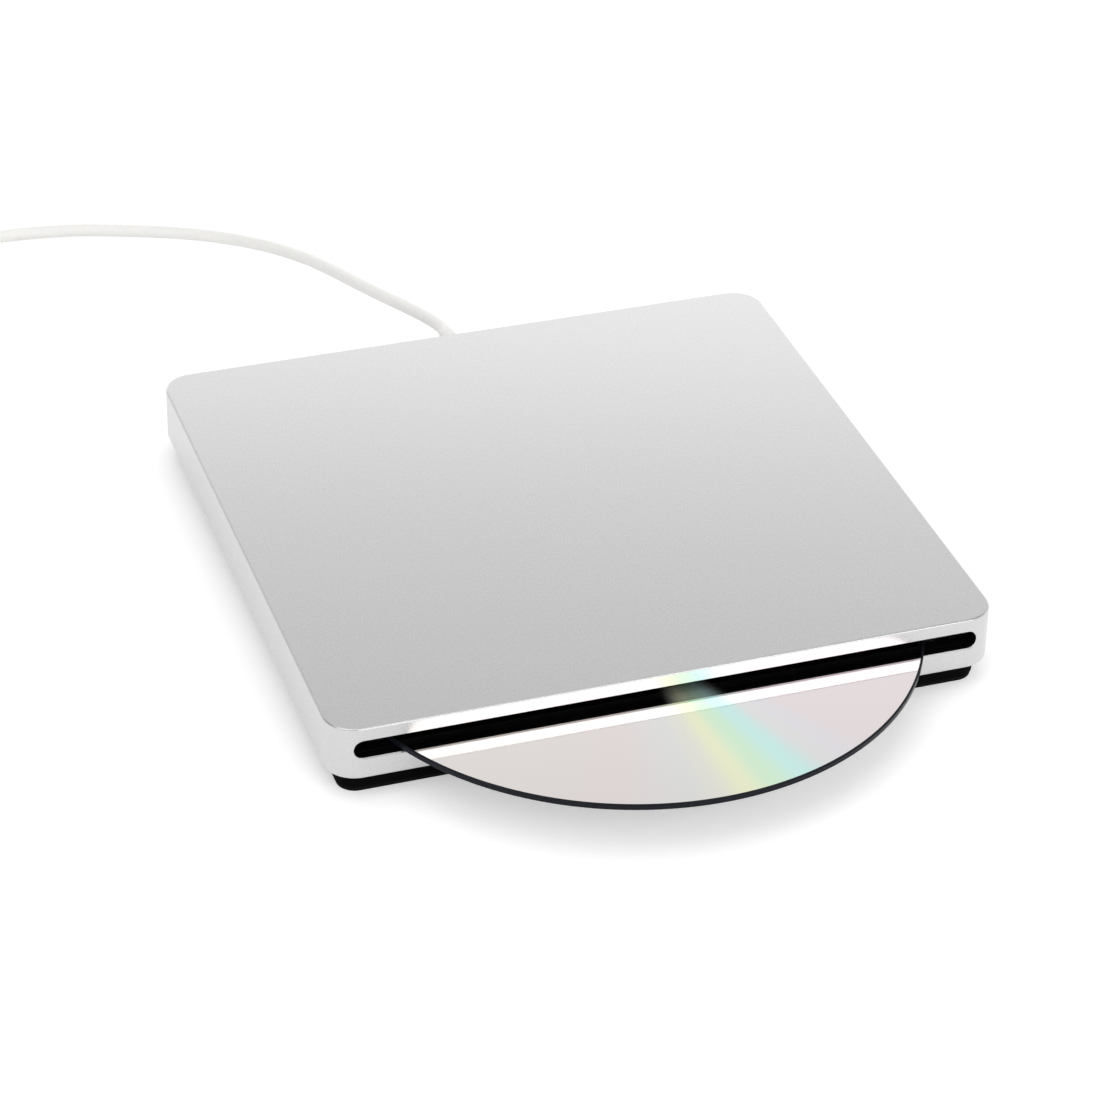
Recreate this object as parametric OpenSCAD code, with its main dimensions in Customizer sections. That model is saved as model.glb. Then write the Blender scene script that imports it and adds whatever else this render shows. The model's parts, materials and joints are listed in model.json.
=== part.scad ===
// Slot-loading external disc drive with a short attached USB lead, millimetres.
// +Z is up, -Y is the front with the slot, and the origin is on the table under the middle of the case.

/* [Disc] */
// Diameter of the disc
disc_d = 120; // [116:0.5:124]
// Thickness of the disc
disc_t = 1.2; // [1.1:0.1:1.5]
// Diameter of the hole in the disc
disc_hole_d = 15; // [14.8:0.1:15.6]
// How far the disc stands out of the front at rest
disc_out = 34; // [20:1:50]
// Sideways place of the disc and the spindle
spindle_x = -1; // [-2:0.5:2]

/* [Case] */
// Thickness of the side walls of the top shell
side_wall = 1.6; // [1.2:0.1:2]
// Thickness of the top wall of the shell
top_wall = 1.2; // [1:0.1:2]
// Plan radius of the case corners
corner_r = 6.5; // [5:0.5:8]
// Bevel around the top edge
top_bevel = 0.3; // [0.2:0.1:0.6]
// Height of the black base that shows under the shell
reveal_h = 4.8; // [4:0.1:6]
// Inset of the base from the shell
base_inset = 2.4; // [2.2:0.1:3.4]
// Thickness of the base walls
base_wall = 1.4; // [1:0.1:1.8]
// Thickness of the base floor
base_floor = 1.2; // [1:0.1:1.6]
// Thickness of the rubber mat under the base
foot_h = 1; // [0.6:0.1:1.4]
// Inset of the mat from the edge of the base
foot_inset = 0.3; // [0.2:0.1:5]
// Height of the base flange inside the shell
flange_h = 1; // [0.8:0.1:1.4]
// Radius of the case screw bosses
boss_r = 2.6; // [2.4:0.1:3]
// Wall of the base outside the heads of the case screws
boss_wall = 0.4; // [0.3:0.05:0.6]

/* [Slot] */
// Room beside the disc at each end of the slot
slot_side = 3.4; // [2:0.1:4]
// Room under the disc in the slot
slot_below = 0.55; // [0.5:0.05:0.8]
// Room over the disc in the slot
slot_above = 2.15; // [1.6:0.05:2.4]
// Depth of the frame behind the slot
bezel_t = 2.8; // [2.2:0.1:3.4]
// Lip of that frame around its felts
bezel_lip = 0.8; // [0.6:0.1:1]
// How far the felts sit back above and below the slot
felt_step = 0.5; // [0.4:0.1:0.6]
// Clearance of the felts from the disc
felt_gap = 0.3; // [0.2:0.05:0.45]

/* [Loader] */
// Thickness of the chassis sheet
chassis_t = 0.8; // [0.6:0.1:1]
// Height of the pads that carry the chassis
standoff_h = 0.4; // [0.3:0.1:0.8]
// Height of the mechanism under the disc
feed_room = 6.6; // [6.5:0.1:7.4]
// Height from the disc to the cover
head_room = 3; // [3:0.1:4]
// Thickness of the cover sheet
cover_t = 0.6; // [0.5:0.1:0.8]
// Gap from the cover to the shell
lid_gap = 0.4; // [0.4:0.1:0.8]
// Room between the disc and the chassis sides
side_room = 1.8; // [1.8:0.1:2.6]
// Gap between the chassis and the shell at the sides
side_gap = 3.8; // [3.6:0.1:5]
// Room between the slot frame and the loaded disc
load_gap = 1.1; // [1:0.1:2]
// Room behind the loaded disc
rear_room = 3.3; // [3.2:0.1:5]
// Depth of the bay behind the chassis
rear_bay = 6.8; // [6.8:0.1:9]
// Radius of the feed roller at its thick ends
roller_r = 3; // [2.6:0.1:3]
// Radius of the feed roller at its waist
roller_waist_r = 2.3; // [1.8:0.1:2.5]
// Radius of the roller shaft
roller_shaft_r = 1; // [0.8:0.1:1.2]
// Distance of the roller from the chassis front
roller_back = 9.2; // [9:0.1:11]
// Module of the loading gears
gear_module = 0.3; // [0.28:0.01:0.3]
// Teeth on the roller gear
roller_teeth = 20; // [18:1:20]
// Teeth on the small wheel of the reduction gear
small_teeth = 14; // [14:1:15]
// Teeth on the large wheel of the reduction gear
large_teeth = 32; // [28:1:32]
// Teeth on the motor pinion
pinion_teeth = 14; // [14:1:16]
// Face width of the gears
gear_w = 1; // [0.8:0.05:1.05]
// Length of the loading motor
load_motor_l = 14; // [10:0.5:18]
// Width of the loading motor across its round sides
load_motor_w = 6.8; // [6:0.1:7]
// Height of the loading motor across its flats
load_motor_h = 6; // [5:0.1:6]

/* [Pickup] */
// Direction of the pickup travel, from +X
traverse_angle = 135; // [133:0.5:137]
// Gap under the floating traverse frame
traverse_lift = 0.8; // [0.7:0.1:1]
// Thickness of the traverse frame
traverse_t = 1.2; // [1:0.1:1.3]
// Radius of the spindle rotor
rotor_r = 13.5; // [13:0.1:13.6]
// Lens radius on the disc at the inner limit
lens_in = 22; // [21.5:0.5:24]
// Distance of the lens from the disc edge at the outer limit
lens_edge = 2; // [2:0.5:6]
// Half length of the pickup sled along its travel
sled_half_l = 5.5; // [5:0.1:5.6]
// Half width of the pickup sled
sled_half_w = 15.4; // [15:0.1:15.6]
// Distance of each guide rod from the travel line
rod_v = 13; // [12.6:0.1:13.2]
// Radius of the guide rods
rod_r = 1; // [0.8:0.1:1.1]
// Outer radius of the lead screw
screw_r = 1.2; // [1:0.1:1.3]
// Pitch of the lead screw
screw_pitch = 3; // [2:0.5:4]
// Focus travel of the lens each way
focus_travel = 0.5; // [0.3:0.1:0.5]

/* [Boards] */
// Thickness of the circuit boards
board_t = 0.8; // [0.6:0.1:1]
// Height of the pillars under the main board
board_lift = 1; // [0.9:0.1:1.4]
// Height of the chips
chip_h = 1.2; // [0.8:0.1:1.6]

/* [Lead] */
// Diameter of the cord
cord_d = 3; // [2.6:0.1:3.2]
// Length of the strain relief outside the case
relief_l = 12; // [8:1:16]
// Height of the cord where it leaves the case
cord_z = 9.2; // [9:0.1:10]
// Turns of the stored coil
coil_turns = 2.25; // [1.25:1:4.25]
// Inner radius of the coil, at the middle of the cord
coil_r = 15; // [14:0.5:18]
// Step of the coil from turn to turn
coil_step = 4; // [3.9:0.1:5]
// Step of the coil from layer to layer
coil_layer = 3.6; // [3.5:0.1:4.5]
// Straight length of the cord from the coil to the plug
tail_l = 16; // [14:1:30]
// Thickness of the tie around the coil
tie_t = 0.4; // [0.3:0.1:0.6]
// Width of the plug grip
grip_w = 15.4; // [14:0.2:17]
// Thickness of the plug grip
grip_h = 8; // [7:0.2:9]
// Length of the plug grip
grip_l = 26; // [20:1:34]
// Length of the metal plug shell that shows
plug_l = 12; // [11.5:0.1:12.5]

/* [Hidden] */
$fn = 96;
cut = 1;
fit = 0.05;
slide_gap = 0.2;
thread_r = 1;
thread_fit = 0.05;
head_r = 1.9;

// Heights, from the table up
base_z = foot_h;
floor_z = base_z + base_floor;
chassis_z = floor_z + standoff_h;
deck_z = chassis_z + chassis_t;
disc_z = deck_z + feed_room;
disc_top = disc_z + disc_t;
cover_z = disc_top + head_room;
cover_top = cover_z + cover_t;
ceiling_z = cover_top + lid_gap;
body_h = ceiling_z + top_wall;
least_foot_r = 1;
foot_r = max(least_foot_r, corner_r - base_inset - foot_inset);
flange_drop = 0.2;
flange_z = reveal_h + flange_drop;
flange_top = flange_z + flange_h;
slot_z0 = disc_z - slot_below;
slot_z1 = disc_top + slot_above;

// Plan sizes, from the disc outwards
disc_r = disc_d / 2;
disc_reach = disc_r + abs(spindle_x);
chassis_in = disc_reach + side_room;
chassis_half = chassis_in + chassis_t;
shell_in = chassis_half + side_gap;
body_w = 2 * (shell_in + side_wall);
body_d = 2 * side_wall + bezel_t + load_gap + disc_d + rear_room + chassis_t + rear_bay;
front_y = -body_d / 2;
bezel_y = front_y + side_wall;
bezel_back = bezel_y + bezel_t;
chassis_gap = 0.4;
chassis_r = corner_r + base_inset - chassis_gap;
chassis_front = bezel_back + chassis_gap;
spindle_y = bezel_back + load_gap + disc_r;
chassis_rear_in = spindle_y + disc_r + rear_room;
chassis_rear = chassis_rear_in + chassis_t;
rear_in = body_d / 2 - side_wall;
disc_y = front_y - disc_out + disc_r;
slot_half = disc_reach + slot_side;
flange_gap = 0.2;
// The screws sit on the diagonals of the rounded corners, with their heads inside the base
boss_inset = corner_r - (corner_r - base_inset - head_r - fit - boss_wall) / sqrt(2);
boss_x = body_w / 2 - boss_inset;
boss_y = body_d / 2 - boss_inset;

// Slot frame and felts
bezel_z0 = slot_z0 - felt_step - bezel_lip;
bezel_z1 = slot_z1 + felt_step + bezel_lip;
bezel_half = slot_half + bezel_lip;
front_boss_top = bezel_z0 - slide_gap;
case_head_t = 0.7;
case_screw_top = front_boss_top - 0.1;

// Feed roller and loading gears, all turning about lines along X
contact_gap = 0.2;
addendum = 0.8 * gear_module;
dedendum = gear_module;
pressure_angle = 20;
backlash = 0.08;
gear_play = 0.04;
roller_y = chassis_front + roller_back;
roller_z = disc_z - contact_gap - roller_r;
gear_gap = 0.5;
layer_gap = 0.3;
gear_x1 = spindle_x + disc_r + gear_gap;
gear_x2 = gear_x1 + gear_w + layer_gap;
function pitch_r(teeth) = gear_module * teeth / 2;
large_r = pitch_r(large_teeth) + addendum;
first_mesh = pitch_r(roller_teeth) + pitch_r(small_teeth) + gear_play;
second_mesh = pitch_r(large_teeth) + pitch_r(pinion_teeth) + gear_play;
reduction_z = deck_z + large_r + slide_gap;
reduction_y = roller_y + sqrt(pow(first_mesh, 2) - pow(reduction_z - roller_z, 2));
load_motor_z = deck_z + load_motor_h / 2;
load_motor_y = reduction_y + sqrt(pow(second_mesh, 2) - pow(reduction_z - load_motor_z, 2));
first_line = atan2(reduction_z - roller_z, reduction_y - roller_y);
second_line = atan2(load_motor_z - reduction_z, load_motor_y - reduction_y);
function meshed(line, teeth, other_teeth) = line + 180 + (180 + teeth * line) / other_teeth;
axle_r = 0.7;
motor_shaft_r = 0.5;
load_motor_x1 = gear_x1 - 2.5;
load_motor_x0 = load_motor_x1 - load_motor_l;
bracket_t = 1.2;
bracket_half_w = 3;
bracket_gap = 0.5;
bracket_right = gear_x1 - slide_gap - bracket_t - 1;
bracket_left = spindle_x - disc_r + 1;
bush_r = roller_shaft_r + 0.8;
bracket_top = disc_z - 0.6;

// Pickup travel, in a frame turned about the spindle
frame_z = deck_z + traverse_lift;
frame_top = frame_z + traverse_t;
lens_out = disc_r - lens_edge;
holder_l = 1.6;
end_gap = 0.4;
frame_u1 = lens_out + sled_half_l + end_gap + holder_l;
frame_u0 = -18.5;
screw_v = -(sled_half_w + 1 + screw_r);
frame_v0 = screw_v - screw_r - 1.6;
frame_v1 = sled_half_w + 1;
sled_z0 = frame_top + 0.3;
sled_z1 = disc_z - 1;
rod_z = (frame_top + disc_z - 0.6) / 2;
rod_u0 = lens_in - sled_half_l - end_gap - holder_l;
holder_half_w = 1.7;
bush_wall = 0.4;
screw_end_r = 0.6;
screw_u1 = frame_u1;
sled_motor_l = 9;
sled_motor_u1 = rod_u0 + holder_l;
sled_motor_h = 2 * (rod_z - frame_top);
sled_motor_half_w = 2;
screw_u0 = sled_motor_u1;
pad_t = 0.4;
motor_plate_t = 0.5;
motor_plate_r = 15;
plate_top = frame_top + motor_plate_t;
hub_top = disc_z - 0.4;
hub_h = 1.6;
rotor_top = hub_top - hub_h;
rotor_roof = 0.6;
rotor_wall = 0.8;
hub_r = disc_hole_d / 2 - 0.3;
hub_bevel = 0.5;
spindle_shaft_r = 1;
sleeve_r = 3.2;
arms = 9;
core_r = 5.4;
arm_r = rotor_r - rotor_wall - 0.6;
core_z = (plate_top + rotor_top - rotor_roof) / 2;
core_t = 0.5;
coil_l = 3.6;
coil_w = 2;
coil_t = 0.9;
claw = [1.4, 1.6, 0.8];
pocket_half_u = sled_half_l - 0.9;
pocket_half_v = 5.2;
pocket_z = sled_z0 + 1.3;
magnet_t = 0.8;
lens_gap = 0.4;
holder_half_u = pocket_half_u - magnet_t - lens_gap;
holder_half_v = 4.2;
lens_holder_z = pocket_z + focus_travel + 0.1;
lens_holder_top = sled_z1 + 0.1;
lens_r = 1.7;
damper_r = 3;
damper_hole_r = 1.9;
damper_collar = 0.7;
damper_places = [[-14.5, 12], [-14.5, -14], [lens_out - 2, sled_half_w + damper_r + end_gap]];

// Boards
board_z = deck_z + board_lift;
board_top = board_z + board_t;
board_margin = 1;
board_corner = 9.5;
board_x1 = chassis_in - board_margin;
board_y1 = chassis_rear_in - board_margin;
board_line = spindle_x + spindle_y - (frame_v0 - 1.2) * sqrt(2);
board_leg = board_x1 + board_y1 - board_line;
pillar_side = 4;
pillar_rear = 3.5;
board_pillars = [
  [board_x1 - pillar_side, board_line - board_x1 + 0.116 * board_leg],
  [board_x1 - pillar_side, board_y1 - 0.148 * board_leg],
  [board_x1 - 0.169 * board_leg, board_y1 - pillar_rear],
  [board_line - board_y1 + 0.127 * board_leg, board_y1 - pillar_rear]
];
pillar_r = 2.4;
connector_x = 16;
connector_w = 28;
connector_h = 3;
connector_d = 6.4;
connector_rear = chassis_rear + 1.6;
usb_board_y = connector_rear;
usb_board_back = usb_board_y + board_t;
usb_board_z0 = flange_top + 0.4;
usb_board_z1 = cover_z - 1;
flex_u = lens_in + 0.39 * (lens_out - lens_in);
flex_w = 12;
flex_t = 0.15;
flex_socket_v = frame_v0 - 3.2;

// Screws that carry the chassis
chassis_screw_x = chassis_in - 8.8;
left_screw_back = 19;
right_screw_back = 21;
rear_screw_back = 11.5;
chassis_screw_places = [
  [-chassis_screw_x, roller_y + left_screw_back], [chassis_screw_x, roller_y + right_screw_back],
  [-chassis_screw_x, spindle_y + rear_screw_back], [chassis_screw_x, spindle_y + rear_screw_back]
];
post_r = 2.4;
cover_head_t = 0.3;
post_h = 1.6;
cover_screw_in = 2;
post_wall = 0.4;
cover_corner_out = (chassis_r - post_r - post_wall) / sqrt(2);
cover_screw_places = [
  [-chassis_in + cover_screw_in, roller_y + left_screw_back],
  [chassis_in - cover_screw_in, roller_y + left_screw_back],
  [-chassis_half + chassis_r - cover_corner_out, chassis_rear - chassis_r + cover_corner_out],
  [chassis_half - chassis_r + cover_corner_out, chassis_rear - chassis_r + cover_corner_out]
];

// Cord, from the strain relief round the back to the coil, on the table
cord_route = [
  [0, 81, 9.2], [0, 84, 9.2], [-0.7, 87, 9.1], [-2.2, 91, 8.95], [-4, 95, 8.75], [-6, 99.2, 8.5],
  [-8.3, 104, 8.2], [-10.7, 109.4, 7.8], [-13.2, 115.6, 7.3], [-16, 122.6, 6.7], [-19, 129.6, 5.9],
  [-22.8, 136.6, 5], [-27.6, 143.2, 4.2], [-33.4, 149.4, 3.4], [-40.2, 154.8, 2.8],
  [-47.8, 159.4, 2.3], [-56, 163.2, 2], [-64.6, 166, 2], [-73.4, 167.8, 2], [-82.4, 168.7, 2],
  [-91.4, 169, 2], [-98, 169, 2], [-105, 169, 2], [-112, 169, 2]
];
coil_centre = [-115, 169 - coil_r - coil_step * (coil_turns - 0.5) / 2];
coil_z = 2;
loop_rings = 24;
coil_sides = 6;
cord_sides = 8;
plug_z = grip_h / 2;
spiral_turns = (coil_turns - 0.5) / 2;
coil_end_r = coil_r + coil_step * spiral_turns;
plug_x = coil_centre[0] - coil_end_r;
plug_y = coil_centre[1] - tail_l;
shell_w = 12;
shell_h = 4.5;
shell_t = 0.3;
tongue_t = 1.9;
tie_angle = 300;
tie_w = 4;
tie_gap = 0.35;
relief_neck_r = 2.9;
relief_flange_r = 3.8;
relief_flange_t = 1;

// Plan and section shapes

module rounded(half_x, half_y, r) {
  square([2 * half_x, 2 * (half_y - r)], center = true);
  square([2 * (half_x - r), 2 * half_y], center = true);
  for (sx = [-1, 1], sy = [-1, 1])
    translate([sx * (half_x - r), sy * (half_y - r)]) circle(r);
}

module slab(half_x, half_y, r, z0, z1) {
  translate([0, 0, z0]) linear_extrude(z1 - z0) rounded(half_x, half_y, r);
}

module bevelled_edge(half_x, half_y, r, z0, bevel) {
  side = [[half_x, 0], [half_x - bevel, bevel], [-half_x + bevel, bevel], [-half_x, 0]];
  end = [[half_y, 0], [half_y - bevel, bevel], [-half_y + bevel, bevel], [-half_y, 0]];
  translate([0, half_y - r, z0]) rotate([90, 0, 0]) linear_extrude(2 * (half_y - r)) polygon(side);
  translate([-half_x + r, 0, z0]) rotate([90, 0, 90]) linear_extrude(2 * (half_x - r)) polygon(end);
  for (sx = [-1, 1], sy = [-1, 1])
    translate([sx * (half_x - r), sy * (half_y - r), z0]) cylinder(h = bevel, r1 = r, r2 = r - bevel);
}

module slot_cut(half_l, z0, z1, y0, y1) {
  end_r = (z1 - z0) / 2;
  translate([0, y0, (z0 + z1) / 2]) rotate([-90, 0, 0]) linear_extrude(y1 - y0) {
    square([2 * (half_l - end_r), 2 * end_r], center = true);
    for (s = [-1, 1]) translate([s * (half_l - end_r), 0]) circle(end_r);
  }
}

module block(x0, x1, y0, y1, z0, z1) {
  translate([x0, y0, z0]) cube([x1 - x0, y1 - y0, z1 - z0]);
}

module post(place, r, z0, z1) {
  translate([place[0], place[1], z0]) cylinder(h = z1 - z0, r = r);
}

module ring(r_in, r_out, z0, z1) {
  translate([0, 0, z0]) difference() {
    cylinder(h = z1 - z0, r = r_out);
    translate([0, 0, -cut]) cylinder(h = z1 - z0 + 2 * cut, r = r_in);
  }
}

// A round bar along X
module bar_x(x0, x1, y, z, r) {
  translate([x0, y, z]) rotate([0, 90, 0]) cylinder(h = x1 - x0, r = r);
}

// A pan head screw with its shank, the head towards +Z when up is 1
module screw(place, head_z, head_t, shank, up) {
  translate([place[0], place[1], head_z]) mirror([0, 0, up > 0 ? 0 : 1]) {
    difference() {
      cylinder(h = head_t, r = head_r);
      for (a = [0, 90]) rotate(a)
        translate([-head_r * 0.6, -0.2, head_t * 0.5]) cube([head_r * 1.2, 0.4, head_t]);
    }
    translate([0, 0, -shank]) cylinder(h = shank, r = thread_r);
  }
}

module at_traverse() {
  translate([spindle_x, spindle_y, 0]) rotate(traverse_angle) children();
}

// Involute gear outline, with a tooth centred on the first axis
function turned_out(r, base) = r <= base ? 0 :
  sqrt(pow(r / base, 2) - 1) * 180 / PI - acos(base / r);
function gear_outline(teeth) =
  let (
    p = pitch_r(teeth),
    base = p * cos(pressure_angle),
    half = 90 / teeth - backlash / 2 / p * 180 / PI + turned_out(p, base),
    tip = p + addendum,
    flank = [p - dedendum, base, (base + p) / 2, p, (p + tip) / 2, tip]
  )
  [for (i = [0 : teeth - 1]) each concat(
    [for (r = flank) r * [cos(360 * i / teeth - half + turned_out(r, base)),
                          sin(360 * i / teeth - half + turned_out(r, base))]],
    [for (k = [len(flank) - 1 : -1 : 0]) let (r = flank[k])
      r * [cos(360 * i / teeth + half - turned_out(r, base)),
           sin(360 * i / teeth + half - turned_out(r, base))]]
  )];

module gear_x(teeth, turn, x0, y, z) {
  translate([x0, y, z]) rotate([90, 0, 90]) linear_extrude(gear_w) rotate(turn)
    polygon(gear_outline(teeth));
}

// Case

module top_shell() color("silver") difference() {
  union() {
    difference() {
      union() {
        slab(body_w / 2, body_d / 2, corner_r, reveal_h, body_h - top_bevel);
        bevelled_edge(body_w / 2, body_d / 2, corner_r, body_h - top_bevel, top_bevel);
      }
      slab(shell_in, rear_in, corner_r - side_wall, reveal_h - cut, ceiling_z);
    }
    for (sx = [-1, 1]) {
      post([sx * boss_x, boss_y], boss_r, flange_top, ceiling_z + top_wall / 2);
      post([sx * boss_x, -boss_y], boss_r, flange_top, front_boss_top);
      for (end = [[-boss_y, front_boss_top], [boss_y, ceiling_z]])
        translate([sx * (boss_x + shell_in + side_wall / 2) / 2, end[0], (flange_top + end[1]) / 2])
          cube([shell_in + side_wall / 2 - boss_x, 1.6, end[1] - flange_top], center = true);
    }
  }
  slot_cut(slot_half, slot_z0, slot_z1, front_y - cut, bezel_y + cut);
  translate([0, rear_in - cut, cord_z]) rotate([-90, 0, 0])
    cylinder(h = side_wall + 2 * cut, r = relief_neck_r + fit);
  for (sx = [-1, 1]) {
    post([sx * boss_x, boss_y], thread_r + thread_fit, flange_top - cut, case_screw_top + 0.5);
    post([sx * boss_x, -boss_y], thread_r + thread_fit, flange_top - cut, front_boss_top + cut);
  }
}

module base_outline(z0, z1) {
  slab(body_w / 2 - base_inset, body_d / 2 - base_inset, corner_r - base_inset, z0, z1);
}

module base_cover() color("#101010") difference() {
  union() {
    difference() {
      union() {
        base_outline(base_z, flange_top);
        slab(shell_in - flange_gap, rear_in - flange_gap, corner_r - side_wall - flange_gap,
             flange_z, flange_top);
      }
      slab(body_w / 2 - base_inset - base_wall, body_d / 2 - base_inset - base_wall,
           corner_r - base_inset - base_wall, floor_z, flange_top + cut);
    }
    intersection() {
      base_outline(base_z, flange_top);
      for (sx = [-1, 1], sy = [-1, 1]) post([sx * boss_x, sy * boss_y], boss_r, base_z, flange_top);
    }
    for (p = chassis_screw_places) post(p, post_r + 0.6, base_z, chassis_z);
  }
  for (sx = [-1, 1], sy = [-1, 1]) {
    post([sx * boss_x, sy * boss_y], thread_r + 2 * thread_fit, base_z - cut, flange_top + cut);
    post([sx * boss_x, sy * boss_y], head_r + fit, base_z - cut, base_z + case_head_t);
  }
  for (p = chassis_screw_places) post(p, thread_r + thread_fit, base_z + 0.3, chassis_z + cut);
  block(-relief_flange_r - slide_gap, relief_flange_r + slide_gap, rear_in - relief_flange_t - slide_gap,
        body_d / 2, flange_z - flange_drop / 2, flange_top + cut);
}

module foot_mat() color("#1c1c1c")
  slab(body_w / 2 - base_inset - foot_inset, body_d / 2 - base_inset - foot_inset, foot_r, 0, foot_h);

module base_screws() color("gray")
  for (sx = [-1, 1], sy = [-1, 1])
    screw([sx * boss_x, sy * boss_y], base_z + case_head_t, case_head_t,
          case_screw_top - base_z - case_head_t, -1);

module slot_bezel() color("#141414") difference() {
  intersection() {
    block(-bezel_half, bezel_half, bezel_y, bezel_back, bezel_z0, bezel_z1);
    slab(shell_in - fit, rear_in - fit, corner_r - side_wall - fit, bezel_z0, bezel_z1);
  }
  block(-slot_half, slot_half, bezel_y - cut, bezel_back + cut, slot_z0 - felt_step, slot_z1 + felt_step);
}

module upper_felt() color("#080808")
  block(-slot_half, slot_half, bezel_y + 0.6, bezel_back - 0.4, disc_top + felt_gap + 0.3,
        slot_z1 + felt_step);

module lower_felt() color("#080808")
  block(-slot_half, slot_half, bezel_y + 0.6, bezel_back - 0.4, slot_z0 - felt_step, disc_z - felt_gap);

// Loader chassis

module chassis_plan(inset) {
  depth = (chassis_rear - chassis_front) / 2;
  translate([0, (chassis_rear + chassis_front) / 2])
    rounded(chassis_half - inset, depth - inset, chassis_r - inset);
}

module chassis() color("lightsteelblue") difference() {
  union() {
    difference() {
      translate([0, 0, chassis_z]) linear_extrude(cover_z - chassis_z) chassis_plan(0);
      translate([0, 0, deck_z]) linear_extrude(cover_z) chassis_plan(chassis_t);
      block(-body_w, body_w, chassis_front - cut, chassis_front + chassis_r, bracket_top, cover_z + cut);
    }
    for (p = cover_screw_places) post(p, post_r, cover_z - post_h, cover_z);
    for (p = board_pillars) post(p, pillar_r, chassis_z + chassis_t / 2, board_z);
  }
  for (p = cover_screw_places) post(p, thread_r + thread_fit, cover_z - post_h - cut, cover_z + cut);
  for (p = board_pillars) post(p, thread_r + thread_fit, chassis_z - cut, board_z + cut);
  for (p = chassis_screw_places) post(p, thread_r + 2 * thread_fit, chassis_z - cut, deck_z + cut);
  at_traverse() for (p = damper_places) post(p, thread_r + thread_fit, chassis_z - cut, deck_z + cut);
  block(connector_x - connector_w / 2 - 0.5, connector_x + connector_w / 2 + 0.5,
        chassis_rear_in - chassis_r, chassis_rear + cut, board_z - 0.3, board_top + connector_h + 0.5);
}

module chassis_screws() color("gray")
  for (p = chassis_screw_places) screw(p, deck_z, 0.6, deck_z - base_z - 0.5, 1);

module mech_cover() color("gainsboro") difference() {
  translate([0, 0, cover_z]) linear_extrude(cover_t) chassis_plan(0);
  for (p = cover_screw_places) post(p, thread_r + 2 * thread_fit, cover_z - cut, cover_top + cut);
  translate([spindle_x, spindle_y, cover_z - cut]) cylinder(h = cover_t + 2 * cut, r = disc_hole_d / 2 + 4);
}

module cover_screws() color("gray")
  for (p = cover_screw_places) screw(p, cover_top, cover_head_t, cover_t + post_h, 1);

// Two low-friction guides hang from the cover and hold the disc down on the roller
module upper_guides() color("ivory") for (s = [-1, 1]) {
  inner = 20;
  outer = disc_r - 2;
  low = disc_top + 0.3;
  rise = roller_r - roller_waist_r + 0.1;
  outline = [[inner, cover_z], [inner, low + rise], [outer, low], [outer, cover_z]];
  translate([spindle_x, roller_y + bracket_half_w, 0]) mirror([s > 0 ? 0 : 1, 0, 0]) rotate([90, 0, 0])
    linear_extrude(2 * bracket_half_w) polygon(outline);
}

// Feed roller and its gears

module roller_brackets() color("slategray") for (x = [bracket_left, bracket_right]) difference() {
  block(x, x + bracket_t, roller_y - bracket_half_w, roller_y + bracket_half_w, deck_z, bracket_top);
  bar_x(x - cut, x + bracket_t + cut, roller_y, roller_z, bush_r + fit);
}

module roller_bushes() color("goldenrod") for (x = [bracket_left, bracket_right]) difference() {
  bar_x(x, x + bracket_t, roller_y, roller_z, bush_r);
  bar_x(x - cut, x + bracket_t + cut, roller_y, roller_z, roller_shaft_r + fit);
}

module roller_shaft() color("lightgray")
  bar_x(bracket_left - 0.3, gear_x1 + gear_w + 0.1, roller_y, roller_z, roller_shaft_r);

module roller_sleeves() color("#303030") {
  outer = min(bracket_right, -bracket_left - bracket_t) - bracket_gap;
  waist = 3;
  for (s = [-1, 1]) translate([s * waist, roller_y, roller_z]) rotate([0, s * 90, 0]) difference() {
    cylinder(h = outer - waist, r1 = roller_waist_r, r2 = roller_r);
    translate([0, 0, -cut]) cylinder(h = outer, r = roller_shaft_r + fit);
  }
}

module roller_gear() color("white") difference() {
  gear_x(roller_teeth, 0, gear_x1, roller_y, roller_z);
  bar_x(gear_x1 - cut, gear_x1 + gear_w + cut, roller_y, roller_z, roller_shaft_r + fit);
}

module reduction_gear() color("whitesmoke") difference() {
  union() {
    gear_x(small_teeth, meshed(first_line, roller_teeth, small_teeth), gear_x1, reduction_y, reduction_z);
    gear_x(large_teeth, 0, gear_x2, reduction_y, reduction_z);
    bar_x(gear_x1 + gear_w / 2, gear_x2 + gear_w / 2, reduction_y, reduction_z,
          pitch_r(small_teeth) - dedendum);
  }
  bar_x(gear_x1 - cut, gear_x2 + gear_w + cut, reduction_y, reduction_z, axle_r + fit);
}

module gear_axle() color("lightgray") {
  bar_x(gear_x1 - 0.2, chassis_in, reduction_y, reduction_z, axle_r);
  bar_x(gear_x2 + gear_w + slide_gap, chassis_in, reduction_y, reduction_z, axle_r + 0.8);
}

module load_motor() color("darkgray") difference() {
  union() {
    intersection() {
      bar_x(load_motor_x0, load_motor_x1, load_motor_y, load_motor_z, load_motor_w / 2);
      block(load_motor_x0, load_motor_x1, load_motor_y - load_motor_w, load_motor_y + load_motor_w,
            deck_z, deck_z + load_motor_h);
    }
    bar_x(load_motor_x1 - cut, load_motor_x1 + 0.6, load_motor_y, load_motor_z, 1.5);
  }
  bar_x(load_motor_x1 - 4, load_motor_x1 + cut, load_motor_y, load_motor_z, motor_shaft_r + fit);
}

module motor_shaft() color("lightgray")
  bar_x(load_motor_x1 - 3.8, gear_x2 + gear_w, load_motor_y, load_motor_z, motor_shaft_r);

module motor_pinion() color("gold") difference() {
  gear_x(pinion_teeth, meshed(second_line, large_teeth, pinion_teeth), gear_x2, load_motor_y, load_motor_z);
  bar_x(gear_x2 - cut, gear_x2 + gear_w + cut, load_motor_y, load_motor_z, motor_shaft_r + fit);
}

// Traverse with the spindle motor and the pickup

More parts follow.
